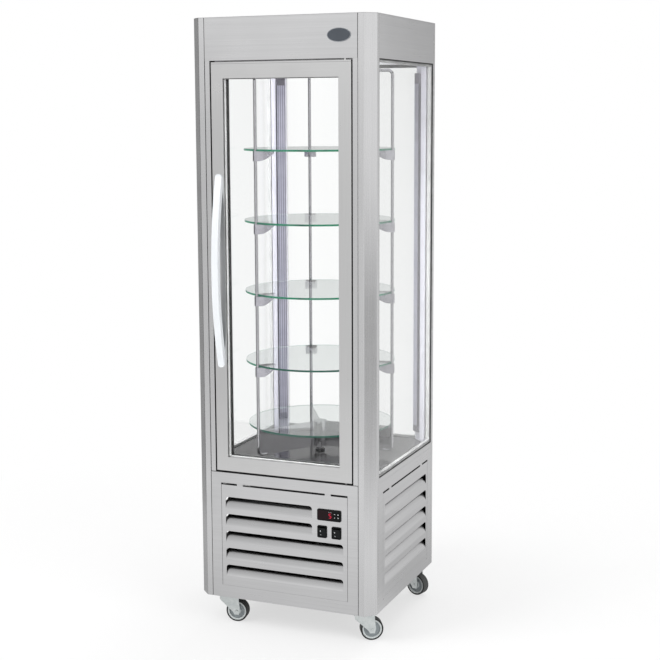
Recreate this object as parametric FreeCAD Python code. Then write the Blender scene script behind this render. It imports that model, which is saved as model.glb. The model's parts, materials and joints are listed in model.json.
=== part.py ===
import FreeCAD, Part
import math
import os

# Revolving refrigerated display cabinet, four glass sides, on swivel castors.
# Millimetres. +Z up, the door faces -Y, the origin is on the floor under the carousel axis.

V = FreeCAD.Vector
Z_AXIS = V(0, 0, 1)

# Overall sizes
WIDTH = 600.0
DEPTH = 600.0
HEIGHT = 1924.0
BASE_HEIGHT = 411.2
HEADER_HEIGHT = 128.2

# Common sheet, fits and gaps
SHEET = 1.2
FIT = 0.3
RUN_FIT = 0.06
COVER_SHEET = 1.5

# Corner posts: a chamfered extrusion with flats, rebates and an inner web
POST_CHAMFER = 30.4
POST_FLAT = 18.4
POST_FLANGE = 17.0
POST_WALL = 2.5
POST_EDGE_R = 3.0
POST_RECESS = 1.5
GROOVE_WIDE = 1.7
GROOVE_DEEP = 5.0
REBATE_DEPTH = 24.0
REBATE_LAND = 15.2

# Insulated floor of the chamber and sill rails
FLOOR_THICK = 30.0
FLOOR_RISE = 21.8
SILL_HEIGHT = 17.0
SILL_SHEET = 1.5
CEILING_THICK = 3.0

# Double glazing
PANE = 4.0
PANE_GAP = 12.0
GLASS_SETBACK = 2.0
SPACER_WIDE = 8.0
SEAL = 2.0
SEAL_LIP = 3.2

# Door
DOOR_GAP = 4.0
DOOR_HEAD_GAP = 4.4
DOOR_DEPTH = 34.0
STILE = 40.5
RAIL_BOTTOM = 46.0
RAIL_TOP = 49.0
DOOR_LIP = 3.0
DOOR_REBATE = 9.5
DOOR_EDGE_R = 2.0
GASKET_WIDE = 13.4
GASKET_TALL = 9.7
GASKET_SET_BACK = 3.0
PIVOT_INSET = 23.0
PIVOT_DEPTH = 12.0
PIVOT_R = 4.0
PIVOT_LONG = 16.0
COLLAR_R = 5.5
POCKET_DEPTH = 16.0

# Bow handle
HANDLE_LONG = 602.0
HANDLE_WIDE = 22.0
HANDLE_THICK = 15.0
HANDLE_BOW = 26.0
HANDLE_FOOT = 54.0
HANDLE_DROP = 2.6
HANDLE_INSET = 24.0

# Carousel
ROD_R = 5.0
ROD_CLEAR = 30.0
ROD_BEND_R = 16.0
ROD_FOOT = 14.0
ROD_COUNT = 3
ROD_PHASE = 0.0
ARM_TOP_GAP = 27.0
ARM_FLOOR_GAP = 21.0
HUB_R = 22.0
SPINDLE_R = 7.0
TOP_PIN_R = 5.0
WEB_THICK = 3.0
DISC_THICK = 6.0
DISC_GAP = 1.0
LOW_DISC_GAP = 8.0
LOW_DISC_RISE = 99.0
UPPER_DISC_RISE = 308.0
TOP_DISC_DROP = 244.5
UPPER_COUNT = 4

# Shelf brackets
BRACKET_REACH = 66.0
BRACKET_TALL = 30.0
BRACKET_TIP = 6.0
BRACKET_WIDE = 40.0
BRACKET_TIP_WIDE = 16.0
COLLAR_WALL = 2.0

# Louvred panels
PANEL_SIDE = 36.7
PANEL_FOOT = 40.5
PANEL_HEAD = 39.7
PANEL_GAP = 1.0
PANEL_SLIT = 3.6
PANEL_RETURN = 11.0
SLOT_INSET = 14.0
SLOT_TALL = 37.0
SLOT_FOOT = 31.6
SLOT_HEAD = 40.0
SLOT_COUNT = 5
SLOT_CORNER = 10.0
BLADE_DEEP = 31.0
TAB_INSET = 54.5
TAB_WIDE = 20.0

# Controller and rocker switches, set into the front louvred panel
CONTROL_WIDE = 79.0
CONTROL_TALL = 36.0
CONTROL_INSET = 20.0
CONTROL_HEAD = 44.0
CONTROL_LIP = 3.0
CONTROL_BODY_DEEP = 55.0
CONTROL_CORNER = 4.6
CONTROL_RIM = 3.5
KEY = 8.0
KEY_PITCH = 11.0
KEY_PROUD = 0.7
KEY_CLEAR = 0.35
KEY_THICK = 2.2
SWITCH_WIDE = 31.5
SWITCH_TALL = 38.5
SWITCH_HEAD = 97.0
SWITCH_LIP = 2.6
SWITCH_CORNER = 4.2
SWITCH_WALL = 3.2
SWITCH_DEEP = 24.0
ROCKER_CLEAR = 0.4
ROCKER_TILT = 9.0
ROCKER_AXLE_R = 1.5
ROCKER_AXLE_DEPTH = 3.0

# Badge plate, left blank
BADGE_LONG = 75.0
BADGE_TALL = 41.0
BADGE_THICK = 1.6
BADGE_INSET = 108.0

# Castors
WHEEL_R = 36.0
WHEEL_WIDE = 30.0
TYRE_THICK = 4.6
TRAIL = 34.0
SWIVEL_INSET = 68.0
AXLE_R = 4.0
FORK_SHEET = 2.5
FORK_CLEAR = 2.2
FORK_FRONT = 8.0
FORK_GAP = 12.0
HEAD_TALL = 18.0
CROWN_R = 27.0
HEAD_R = 25.0
KING_R = 5.0
RACE_GAP = 0.5
HUB_BOSS_R = 10.0
HUB_WEB = 10.0
TYRE_SHOULDER = 2.5
STEM_R = 6.0
TURN_FL = 10.0
TURN_FR = 30.0
TURN_RR = -15.0
TURN_RL = -135.0

# Chassis, drive and cooling unit
CHASSIS = 2.5
CHASSIS_EDGE = 25.0
MOTOR_LONG = 110.0
MOTOR_WIDE = 78.0
MOTOR_TALL = 46.0
BUSH_R = 15.0
BUSH_PROUD = 6.0
COMPRESSOR_R = 78.0
COMPRESSOR_TALL = 165.0
COIL_LONG = 300.0
COIL_TALL = 230.0
COIL_DEEP = 44.0
GLAND_R = 11.0

# Derived levels and distances
HALF_W = WIDTH / 2
HALF_D = DEPTH / 2
FORK_CROWN = 2 * WHEEL_R + FORK_GAP
CASTOR_HEIGHT = FORK_CROWN + HEAD_TALL
POST_SEAM = POST_CHAMFER + POST_FLAT
POST_INNER = POST_SEAM + POST_FLANGE + 0.2
REBATE_END = POST_SEAM + REBATE_LAND
INNER_FACE = REBATE_DEPTH + FIT
BASE_TOP = CASTOR_HEIGHT + BASE_HEIGHT
SILL_TOP = BASE_TOP + SILL_HEIGHT
FLOOR_TOP = BASE_TOP + FLOOR_RISE
POST_TOP = HEIGHT - COVER_SHEET - FIT
HEADER_BOTTOM = POST_TOP - HEADER_HEIGHT
DOOR_BOTTOM = BASE_TOP + DOOR_HEAD_GAP
DOOR_TOP = HEADER_BOTTOM - DOOR_HEAD_GAP
DOOR_HALF = HALF_W - POST_INNER - DOOR_GAP
DOOR_FRONT = -HALF_D
DOOR_BACK = DOOR_FRONT + DOOR_DEPTH
WIN_HALF = DOOR_HALF - STILE
WIN_BOTTOM = DOOR_BOTTOM + RAIL_BOTTOM
WIN_TOP = DOOR_TOP - RAIL_TOP
SEAL_FACE = DOOR_BACK + GASKET_TALL + FIT
PIVOT_X = DOOR_HALF - PIVOT_INSET
PIVOT_Y = DOOR_FRONT + PIVOT_DEPTH
CORNER_SUM = HALF_W + HALF_D - REBATE_END - REBATE_DEPTH - 16.0
CARRY_HALF_W = HALF_W - INNER_FACE
CARRY_HALF_D = HALF_D - INNER_FACE
FRONT_EDGE = SEAL_FACE + COVER_SHEET + FIT
ROD_CIRCLE = min(HALF_W, HALF_D) - REBATE_DEPTH - ROD_CLEAR
ARM_LOW = FLOOR_TOP + ARM_FLOOR_GAP
ARM_HIGH = HEADER_BOTTOM - ARM_TOP_GAP
LOW_DISC = FLOOR_TOP + LOW_DISC_RISE
UPPER_DISC = FLOOR_TOP + UPPER_DISC_RISE
PANEL_BOTTOM = CASTOR_HEIGHT + PANEL_FOOT
PANEL_TOP = BASE_TOP - PANEL_HEAD
SWIVEL_X = HALF_W - SWIVEL_INSET
SWIVEL_Y = HALF_D - SWIVEL_INSET


# ---------------------------------------------------------------- helpers
def box(x0, x1, y0, y1, z0, z1):
    return Part.makeBox(x1 - x0, y1 - y0, z1 - z0, V(x0, y0, z0))


def cylinder(radius, z0, z1, x=0.0, y=0.0):
    return Part.makeCylinder(radius, z1 - z0, V(x, y, z0))


def prism(points, z0, z1):
    ring = [V(x, y, z0) for x, y in points]
    face = Part.Face(Part.makePolygon(ring + ring[:1]))
    return face.extrude(V(0, 0, z1 - z0))


def side_prism(points, x0, x1):
    """Extrude a profile of (y, z) points along X."""
    ring = [V(x0, y, z) for y, z in points]
    face = Part.Face(Part.makePolygon(ring + ring[:1]))
    return face.extrude(V(x1 - x0, 0, 0))


def fused(shapes):
    whole = shapes[0].fuse(shapes[1:]) if len(shapes) > 1 else shapes[0]
    return whole.removeSplitter()


def turned(shape, degrees, x=0.0, y=0.0):
    copy = shape.copy()
    copy.rotate(V(x, y, 0), Z_AXIS, degrees)
    return copy


def moved(shape, dx=0.0, dy=0.0, dz=0.0):
    copy = shape.copy()
    copy.translate(V(dx, dy, dz))
    return copy


def soften(shape, radius, choose):
    edges = [e for e in shape.Edges if choose(e)]
    return shape.makeFillet(radius, edges) if edges else shape


def upright(edge):
    box_of = edge.BoundBox
    return box_of.XLength < 1e-6 and box_of.YLength < 1e-6


def along_y(edge):
    box_of = edge.BoundBox
    return box_of.XLength < 1e-6 and box_of.ZLength < 1e-6


def ring_plate(half, bottom, top, width, y0, y1):
    """A rectangular frame in a plane facing -Y, its outer edge at half, bottom and top."""
    outer = box(-half, half, y0, y1, bottom, top)
    hole = box(-half + width, half - width, y0 - 1, y1 + 1, bottom + width, top - width)
    return outer.cut(hole)


def save(name, *shapes):
    solids = []
    for shape in shapes:
        solids += shape.Solids
    whole = solids[0] if len(solids) == 1 else Part.makeCompound(solids)
    whole.exportStep("parts/" + name + ".step")


# Each fixed side: name, turn from the front, length along the face, axis to face
SIDES = (
    ("right", 90, DEPTH, HALF_W),
    ("rear", 180, WIDTH, HALF_D),
    ("left", -90, DEPTH, HALF_W),
)


# ---------------------------------------------------------------- corner posts
def post(outline, x_sign, y_sign):
    """A hollow post from (inward from side, inward from front or rear) points."""
    points = [(x_sign * (HALF_W - u), y_sign * (HALF_D - v)) for u, v in outline]
    solid = prism(points, CASTOR_HEIGHT, POST_TOP)
    corners = [points[0], points[1]]

    def chamfer_edge(edge):
        at = edge.BoundBox.Center
        near = [abs(at.x - x) + abs(at.y - y) < 0.01 for x, y in corners]
        return upright(edge) and any(near)

    solid = soften(solid, POST_EDGE_R, chamfer_edge)
    ring = [V(x, y, CASTOR_HEIGHT - 1) for x, y in points]
    core = Part.Face(Part.makePolygon(ring + ring[:1])).makeOffset2D(-POST_WALL, 2)
    bore = core.extrude(V(0, 0, POST_TOP - CASTOR_HEIGHT + 2))
    return solid.cut(bore)


def rear_outline():
    run = REBATE_END - POST_SEAM + 1.0
    return [
        (POST_CHAMFER, 0.0),
        (0.0, POST_CHAMFER),
        (0.0, POST_SEAM),
        (REBATE_DEPTH, POST_SEAM),
        (REBATE_DEPTH, REBATE_END),
        (REBATE_DEPTH + run, REBATE_END),
        (REBATE_END, REBATE_DEPTH + run),
        (REBATE_END, REBATE_DEPTH),
        (POST_SEAM, REBATE_DEPTH),
        (POST_SEAM, 0.0),
    ]


def front_outline():
    inner = POST_INNER
    web = REBATE_END + REBATE_DEPTH + 16.0
    groove_end = POST_SEAM + GROOVE_WIDE
    return [
        (POST_CHAMFER, 0.0),
        (0.0, POST_CHAMFER),
        (0.0, POST_SEAM),
        (REBATE_DEPTH, POST_SEAM),
        (REBATE_DEPTH, REBATE_END),
        (web - REBATE_END, REBATE_END),
        (inner, web - inner),
        (inner, POST_RECESS),
        (groove_end, POST_RECESS),
        (groove_end, GROOVE_DEEP),
        (POST_SEAM, GROOVE_DEEP),
        (POST_SEAM, 0.0),
    ]


def build_posts():
    save("corner_post_front_left", post(front_outline(), -1, -1))
    save("corner_post_front_right", post(front_outline(), 1, -1))
    save("corner_post_rear_left", post(rear_outline(), -1, 1))
    save("corner_post_rear_right", post(rear_outline(), 1, 1))


# ---------------------------------------------------------------- folded sheet pans
def side_pan(span, reach, bottom, top, sheet=SHEET):
    """A folded pan between two posts, face at y = -reach, returns against the rebate."""
    half = span / 2 - POST_SEAM - FIT
    front = -reach
    back = front + REBATE_DEPTH - FIT
    outer = box(-half, half, front, back, bottom, top)
    hollow = box(-half + sheet, half - sheet, front + sheet, back + 1, bottom + sheet, top - sheet)
    return outer.cut(hollow)


def front_pan(bottom, top, deep_z0, deep_z1):
    """A front pan: its face lies in the posts' shallow recess, one return carries the door frame."""
    half = HALF_W - POST_SEAM - GROOVE_WIDE
    inner = HALF_W - POST_INNER - FIT
    front = -HALF_D
    back = front + REBATE_DEPTH - FIT
    face = box(-half, half, front, front + SHEET, bottom, top)
    outer = box(-inner, inner, front, back, bottom, top)
    hollow = box(-inner + SHEET, inner - SHEET, front - 1, back + 1, bottom + SHEET, top - SHEET)
    shelf = box(-inner, inner, front, FRONT_EDGE - FIT, deep_z0, deep_z1)
    return fused([face, outer.cut(hollow), shelf])


def louvre_opening(span, reach):
    half = span / 2 - POST_SEAM - PANEL_SIDE + PANEL_GAP
    low = PANEL_BOTTOM - FIT
    high = PANEL_TOP + PANEL_SLIT
    return box(-half, half, -reach - 1, -reach + REBATE_DEPTH, low, high)


def opening_return(span, reach):
    """The folded edge round the opening that the louvred panel sits in."""
    half = span / 2 - POST_SEAM - PANEL_SIDE + PANEL_GAP
    low = PANEL_BOTTOM - FIT
    high = PANEL_TOP + PANEL_SLIT
    front = -reach
    back = front + PANEL_RETURN
    outer = box(-half - SHEET, half + SHEET, front, back, low - SHEET, high + SHEET)
    return outer.cut(box(-half, half, front - 1, back + 1, low, high))


def base_panel(pan, span, reach):
    return fused([pan.cut(louvre_opening(span, reach)), opening_return(span, reach)])


def build_base_panels():
    pan = front_pan(CASTOR_HEIGHT, BASE_TOP, BASE_TOP - SHEET, BASE_TOP)
    save("base_panel_front", base_panel(pan, WIDTH, HALF_D))
    shapes = []
    for _, turn, span, reach in SIDES:
        pan = side_pan(span, reach, CASTOR_HEIGHT, BASE_TOP - FIT)
        shapes.append(turned(base_panel(pan, span, reach), turn))
    gland_hole = Part.makeCylinder(GLAND_R - 3.0, 40, V(*gland_place()), V(0, -1, 0))
    gland_hole.translate(V(0, 10, 0))
    shapes[1] = shapes[1].cut(gland_hole)
    save("base_side_panels", *shapes)


# ---------------------------------------------------------------- louvred panels
def blade(x0, x1, front, foot):
    """A lanced louvre blade: rises from the slot's lower edge and leans inwards."""
    top = foot + 0.945 * SLOT_TALL
    middle = foot + 0.57 * SLOT_TALL

    def arc(shift, lower):
        return (
            V(x0, front + shift, foot),
            V(x0, front + 0.29 * BLADE_DEEP + 0.95 * shift, middle - lower / 2),
            V(x0, front + BLADE_DEEP + 0.5 * shift, top - lower),
        )

    outer = arc(0.0, 0.0)
    inner = arc(SHEET, 0.8 * SHEET)
    edges = [
        Part.Arc(*outer).toShape(),
        Part.makeLine(outer[2], inner[2]),
        Part.Arc(*inner).toShape(),
        Part.makeLine(inner[0], outer[0]),
    ]
    face = Part.Face(Part.Wire(Part.__sortEdges__(edges)))
    return face.extrude(V(x1 - x0, 0, 0))


def slot(x0, x1, front, foot):
    """A slot with its two upper corners rounded."""
    opening = box(x0, x1, front - 1, front + SHEET + 1, foot, foot + SLOT_TALL)
    middle = foot + SLOT_TALL / 2
    return soften(opening, SLOT_CORNER, lambda e: along_y(e) and e.BoundBox.ZMin > middle)


def slot_feet():
    first = PANEL_TOP - SLOT_HEAD - SLOT_TALL
    last = PANEL_BOTTOM + SLOT_FOOT
    pitch = (first - last) / (SLOT_COUNT - 1)
    return [first - n * pitch for n in range(SLOT_COUNT)]


def louvre_panel(span, reach, short_rows=0, short_end=0.0):
    half = span / 2 - POST_SEAM - PANEL_SIDE
    front = -reach
    back = front + PANEL_RETURN - SHEET
    outer = box(-half, half, front, back, PANEL_BOTTOM, PANEL_TOP)
    hollow = box(
        -half + SHEET, half - SHEET, front + SHEET, back + 1, PANEL_BOTTOM + SHEET, PANEL_TOP - SHEET
    )
    panel = outer.cut(hollow)
    x0 = -half + SLOT_INSET
    slots = []
    pieces = []
    for row, foot in enumerate(slot_feet()):
        x1 = short_end if row < short_rows else half - SLOT_INSET
        slots.append(slot(x0, x1, front, foot))
        pieces.append(blade(x0, x1, front, foot))
    for side in (-1, 1):
        middle = side * (half - TAB_INSET - TAB_WIDE / 2)
        tab_half = TAB_WIDE / 2
        tab = box(
            middle - tab_half, middle + tab_half, front, front + SHEET, PANEL_TOP - 2, PANEL_TOP + PANEL_SLIT
        )
        pieces.append(tab)
    return fused([panel.cut(slots)] + pieces)


def control_right():
    return WIDTH / 2 - POST_SEAM - PANEL_SIDE - CONTROL_INSET


def control_box(grow=0.0):
    """(x0, x1, z0, z1) of the controller's body, or of its hole when grown."""
    x1 = control_right() - 4.0
    x0 = x1 - CONTROL_WIDE + 8.0
    z1 = PANEL_TOP - CONTROL_HEAD - 3.5
    z0 = z1 - CONTROL_TALL + 7.0
    return x0 - grow, x1 + grow, z0 - grow, z1 + grow


def switch_places():
    right = control_right() - SWITCH_WIDE / 2
    left = control_right() - CONTROL_WIDE + SWITCH_WIDE / 2
    return (left, right)


def switch_centre_z():
    return PANEL_TOP - SWITCH_HEAD - SWITCH_TALL / 2


def switch_body(x, grow=0.0):
    """The snap-in body of a rocker switch, or its hole when grown."""
    half_w = SWITCH_WIDE / 2 - 2.0 + grow
    half_t = SWITCH_TALL / 2 - 2.5 + grow
    z = switch_centre_z()
    return (x - half_w, x + half_w, z - half_t, z + half_t)


def build_louvre_panels():
    short_end = control_right() - CONTROL_WIDE - 18.7
    panel = louvre_panel(WIDTH, HALF_D, 2, short_end)
    front = -HALF_D
    x0, x1, z0, z1 = control_box(FIT)
    holes = [box(x0, x1, front - 1, front + 3, z0, z1)]
    for x in switch_places():
        x0, x1, z0, z1 = switch_body(x, FIT)
        holes.append(box(x0, x1, front - 1, front + 3, z0, z1))
    save("louvre_panel_front", panel.cut(holes))
    save(
        "louvre_side_panels",
        *[turned(louvre_panel(span, reach), turn) for _, turn, span, reach in SIDES]
    )


# ---------------------------------------------------------------- header, cover, ceiling, floor
def octagon(half_w, half_d, corner_sum, front=None):
    """A plan outline with cut corners, as points; corner_sum is x + y on the cut."""
    y0 = -half_d if front is None else front
    cut_back = corner_sum - half_d
    cut_side = corner_sum - half_w
    cut_front = min(corner_sum + y0, half_w)
    return [
        (cut_front, y0),
        (half_w, -min(cut_side, -y0)),
        (half_w, cut_side),
        (cut_back, half_d),
        (-cut_back, half_d),
        (-half_w, cut_side),
        (-half_w, -min(cut_side, -y0)),
        (-cut_front, y0),
    ]


def build_header():
    pans = [front_pan(HEADER_BOTTOM, POST_TOP, HEADER_BOTTOM, HEADER_BOTTOM + SHEET)]
    for _, turn, span, reach in SIDES:
        pans.append(turned(side_pan(span, reach, HEADER_BOTTOM, POST_TOP), turn))
    save("header_panels", *pans)
    cover = prism(octagon(HALF_W, HALF_D, HALF_W + HALF_D - POST_CHAMFER), HEIGHT - COVER_SHEET, HEIGHT)
    save("top_cover", cover)


def build_badge():
    """A blank oval plate at the right end of the header."""
    x = HALF_W - BADGE_INSET
    z = HEADER_BOTTOM + HEADER_HEIGHT / 2 + 3.4
    oval = Part.Ellipse(V(0, 0, 0), BADGE_LONG / 2, BADGE_TALL / 2).toShape()
    plate = Part.Face(Part.Wire([oval])).extrude(V(0, 0, BADGE_THICK))
    plate.rotate(V(0, 0, 0), V(1, 0, 0), 90)
    plate.translate(V(x, -HALF_D, z))
    save("header_badge", plate)


def chamber_plate(z0, z1):
    return prism(octagon(CARRY_HALF_W, CARRY_HALF_D, CORNER_SUM - 2 * FIT, FRONT_EDGE), z0, z1)


def build_chamber():
    low = FLOOR_TOP - FLOOR_THICK
    floor = chamber_plate(low, FLOOR_TOP)
    cuts = [cylinder(BUSH_R + FIT, low - 1, FLOOR_TOP + 1)]
    pocket_back = SEAL_FACE + POCKET_DEPTH + COVER_SHEET + FIT
    for side in (-1, 1):
        xs = sorted((side * (PIVOT_X - 1.0 - COVER_SHEET - FIT), side * HALF_W))
        cuts.append(box(xs[0], xs[1], FRONT_EDGE - 1, pocket_back, BASE_TOP, FLOOR_TOP + 1))
    save("chamber_floor", floor.cut(cuts))
    ceiling = chamber_plate(HEADER_BOTTOM, HEADER_BOTTOM + CEILING_THICK)
    bearing = cylinder(HUB_R, HEADER_BOTTOM - 14.0, HEADER_BOTTOM)
    bore = cylinder(TOP_PIN_R + RUN_FIT, HEADER_BOTTOM - 15.0, HEADER_BOTTOM)
    save("chamber_ceiling", fused([ceiling, bearing]).cut(bore))


def sill_rail(span, reach):
    half = span / 2 - POST_SEAM - FIT
    front = -reach
    back = front + REBATE_DEPTH - FIT
    outer = box(-half, half, front, back, BASE_TOP, SILL_TOP - FIT)
    hollow = box(
        -half - 1, half + 1, front + SILL_SHEET, back + 1, BASE_TOP + SILL_SHEET, SILL_TOP - FIT - SILL_SHEET
    )
    return outer.cut(hollow)


def build_sill_rails():
    save("sill_rails", *[turned(sill_rail(span, reach), turn) for _, turn, span, reach in SIDES])


# ---------------------------------------------------------------- fixed double glazing
def glazing(span, reach):
    """Panes, spacer bar and edge seal of one fixed side, in the front's place."""
    half = span / 2 - POST_SEAM - FIT
    bottom = SILL_TOP
    top = HEADER_BOTTOM - FIT
    edge = SEAL + FIT
    face = -reach + GLASS_SETBACK
    inner = face + PANE + PANE_GAP
    g_half = half - edge
    g_bottom = bottom + edge
    g_top = top - edge
    outer_pane = box(-g_half, g_half, face, face + PANE, g_bottom, g_top)
    inner_pane = box(-g_half, g_half, inner, inner + PANE, g_bottom, g_top)
    spacer = ring_plate(g_half, g_bottom, g_top, SPACER_WIDE, face + PANE, inner)
    band = ring_plate(half, bottom, top, SEAL, face - 1.0, inner + PANE + 1.0)
    lip = ring_plate(half, bottom, top, SEAL_LIP, face - 1.0, face - 0.1)
    return [outer_pane, inner_pane], spacer, fused([band, lip])


def build_glazing():
    spacers = []
    seals = []
    for name, turn, span, reach in SIDES:
        panes, spacer, seal = glazing(span, reach)
        save("fixed_glass_" + name, *[turned(p, turn) for p in panes])
        spacers.append(turned(spacer, turn))
        seals.append(turned(seal, turn))
    save("glass_spacers", *spacers)
    save("glazing_seals", *seals)


def build_light_strips():
    """An opal light strip on the inner web of each rear post."""
    half = 16.0
    thick = 9.0
    low = FLOOR_TOP + 30.0
    high = HEADER_BOTTOM - 30.0
    strip = box(-half, half, -thick, 0, low, high)
    strip = soften(strip, 3.0, lambda e: upright(e) and e.BoundBox.YMin < -thick + 0.1)
    shapes = []
    for x_sign in (-1, 1):
        lamp = strip.copy()
        lamp.rotate(V(0, 0, 0), Z_AXIS, -45 * x_sign)
        x_mid = (HALF_W - REBATE_END + HALF_W - REBATE_DEPTH - 16.2) / 2
        y_mid = CORNER_SUM - x_mid
        step = FIT / math.sqrt(2)
        lamp.translate(V(x_sign * (x_mid - step), y_mid - step, 0))
        shapes.append(lamp)
    save("light_strips", *shapes)


# ---------------------------------------------------------------- door seal frame and pivots
def build_seal_frame():
    """The folded frame that the door gasket closes on, with a pocket for the swinging edge."""
    half = PIVOT_X - 1.0
    y0 = SEAL_FACE
    y1 = y0 + COVER_SHEET
    y2 = y0 + POCKET_DEPTH
    low = BASE_TOP + FIT
    high = HEADER_BOTTOM - FIT
    plate = box(-half, half, y0, y1, low, high)
    window = box(-WIN_HALF, WIN_HALF, y0 - 1, y1 + 1, WIN_BOTTOM, WIN_TOP)
    pieces = [plate.cut(window)]
    end = CORNER_SUM + y2 - 2 * FIT
    for side in (-1, 1):
        xs = sorted((side * half, side * (half - COVER_SHEET)))
        pieces.append(box(xs[0], xs[1], y0, y2 + COVER_SHEET, low, high))
        xs = sorted((side * half, side * end))
        pieces.append(box(xs[0], xs[1], y2, y2 + COVER_SHEET, low, high))
    save("door_seal_frame", fused(pieces))


def build_pivots():
    """Two pivot pins with their spacer collars, on the base and under the header."""
    low = cylinder(PIVOT_R, BASE_TOP, DOOR_BOTTOM + PIVOT_LONG, PIVOT_X, PIVOT_Y)
    low_collar = cylinder(COLLAR_R, BASE_TOP, DOOR_BOTTOM - FIT, PIVOT_X, PIVOT_Y)
    high = cylinder(PIVOT_R, DOOR_TOP - PIVOT_LONG, HEADER_BOTTOM, PIVOT_X, PIVOT_Y)
    high_collar = cylinder(COLLAR_R, DOOR_TOP + FIT, HEADER_BOTTOM, PIVOT_X, PIVOT_Y)
    save("door_pivots", fused([low, low_collar]), fused([high, high_collar]))


# ---------------------------------------------------------------- door
def build_door_frame():
    """Folded frame with a glazing rebate behind its front lip."""
    outer = box(-DOOR_HALF, DOOR_HALF, DOOR_FRONT, DOOR_BACK, DOOR_BOTTOM, DOOR_TOP)
    outer = soften(outer, DOOR_EDGE_R, upright)
    window = box(-WIN_HALF, WIN_HALF, DOOR_FRONT - 1, DOOR_BACK + 1, WIN_BOTTOM, WIN_TOP)
    lip = DOOR_FRONT + DOOR_LIP
    wide = DOOR_REBATE
    rebate = box(
        -WIN_HALF - wide, WIN_HALF + wide, lip, DOOR_BACK + 1, WIN_BOTTOM - wide, WIN_TOP + wide
    )
    depth = PIVOT_LONG + FIT
    low = cylinder(PIVOT_R + RUN_FIT, DOOR_BOTTOM - 1, DOOR_BOTTOM + depth, PIVOT_X, PIVOT_Y)
    high = cylinder(PIVOT_R + RUN_FIT, DOOR_TOP - depth, DOOR_TOP + 1, PIVOT_X, PIVOT_Y)
    save("door_frame", outer.cut([window, rebate, low, high]))


def build_door_glass():
    edge = DOOR_REBATE - FIT
    half = WIN_HALF + edge
    low = WIN_BOTTOM - edge
    high = WIN_TOP + edge
    face = DOOR_FRONT + DOOR_LIP + FIT
    inner = face + PANE + PANE_GAP
    outer_pane = box(-half, half, face, face + PANE, low, high)
    inner_pane = box(-half, half, inner, inner + PANE, low, high)
    save("door_glass", outer_pane, inner_pane)
    save("door_spacer", ring_plate(half, low, high, edge + 2.0, face + PANE, inner))


def build_door_gasket():
    """Push-in glazing bead and the magnetic gasket behind it, one moulding."""
    edge = DOOR_REBATE - FIT
    bead_front = DOOR_FRONT + DOOR_LIP + 2 * PANE + PANE_GAP + 2 * FIT
    bead = ring_plate(WIN_HALF + edge, WIN_BOTTOM - edge, WIN_TOP + edge, edge, bead_front, DOOR_BACK)
    grow = GASKET_WIDE + GASKET_SET_BACK
    lip = ring_plate(
        WIN_HALF + grow, WIN_BOTTOM - grow, WIN_TOP + grow, GASKET_WIDE, DOOR_BACK, DOOR_BACK + GASKET_TALL
    )
    save("door_gasket", fused([bead, lip]))


def build_handle():
    """A bow handle: both feet lie on the stile and the grip stands off between them."""
    x = -DOOR_HALF + HANDLE_INSET
    z = (DOOR_BOTTOM + DOOR_TOP) / 2 - HANDLE_DROP
    half = HANDLE_LONG / 2
    foot = half - HANDLE_FOOT
    back = DOOR_FRONT
    tip = back - HANDLE_THICK * 0.45
    crown = back - HANDLE_THICK - HANDLE_BOW
    bow = half - HANDLE_WIDE / 2 - 1.0
    outer = Part.Arc(V(0, tip, z - bow), V(0, crown, z), V(0, tip, z + bow)).toShape()
    inner = Part.Arc(V(0, back, z - foot), V(0, crown + HANDLE_THICK, z), V(0, back, z + foot)).toShape()
    end = half + 1.0
    edges = [
        outer,
        Part.makeLine(V(0, tip, z + bow), V(0, tip, z + end)),
        Part.makeLine(V(0, tip, z + end), V(0, back, z + end)),
        Part.makeLine(V(0, back, z + end), V(0, back, z + foot)),
        inner,
        Part.makeLine(V(0, back, z - foot), V(0, back, z - end)),
        Part.makeLine(V(0, back, z - end), V(0, tip, z - end)),
        Part.makeLine(V(0, tip, z - end), V(0, tip, z - bow)),
    ]
    face = Part.Face(Part.Wire(Part.__sortEdges__(edges)))
    bar = face.extrude(V(HANDLE_WIDE + 2.0, 0, 0))
    bar.translate(V(x - HANDLE_WIDE / 2 - 1.0, 0, 0))
    r = HANDLE_WIDE / 2
    y0 = crown - 1.0
    low = z - half + r
    high = z + half - r
    outline = [
        Part.makeLine(V(x - r, y0, low), V(x - r, y0, high)),
        Part.Arc(V(x - r, y0, high), V(x, y0, high + r), V(x + r, y0, high)).toShape(),
        Part.makeLine(V(x + r, y0, high), V(x + r, y0, low)),
        Part.Arc(V(x + r, y0, low), V(x, y0, low - r), V(x - r, y0, low)).toShape(),
    ]
    slab = Part.Face(Part.Wire(outline)).extrude(V(0, back - y0 + 1.0, 0))
    save("door_handle", bar.common(slab))


# ---------------------------------------------------------------- carousel
def rod_bend(x, z, start):
    """A quarter bend of a rod about (x, z), turning from the given angle in the XZ plane."""
    bend = Part.makeTorus(ROD_BEND_R, ROD_R, V(0, 0, 0), Z_AXIS, 0, 360, 90)
    bend.rotate(V(0, 0, 0), V(1, 0, 0), 90)
    bend.rotate(V(0, 0, 0), V(0, 1, 0), -start)
    return moved(bend, x, 0, z)


def bent_rod():
    """One bent rod in the XZ plane: a short foot, the upright and the top arm."""
    centre_x = ROD_CIRCLE - ROD_BEND_R
    foot = Part.makeCylinder(ROD_R, ROD_FOOT, V(centre_x - ROD_FOOT, 0, ARM_LOW), V(1, 0, 0))
    low_bend = rod_bend(centre_x, ARM_LOW + ROD_BEND_R, 270)
    upright_rod = cylinder(ROD_R, ARM_LOW + ROD_BEND_R, ARM_HIGH - ROD_BEND_R, ROD_CIRCLE)
    top_bend = rod_bend(centre_x, ARM_HIGH - ROD_BEND_R, 0)
    arm_start = HUB_R / 2
    arm = Part.makeCylinder(ROD_R, centre_x - arm_start, V(arm_start, 0, ARM_HIGH), V(1, 0, 0))
    return foot.fuse([low_bend, upright_rod, top_bend, arm])


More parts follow.
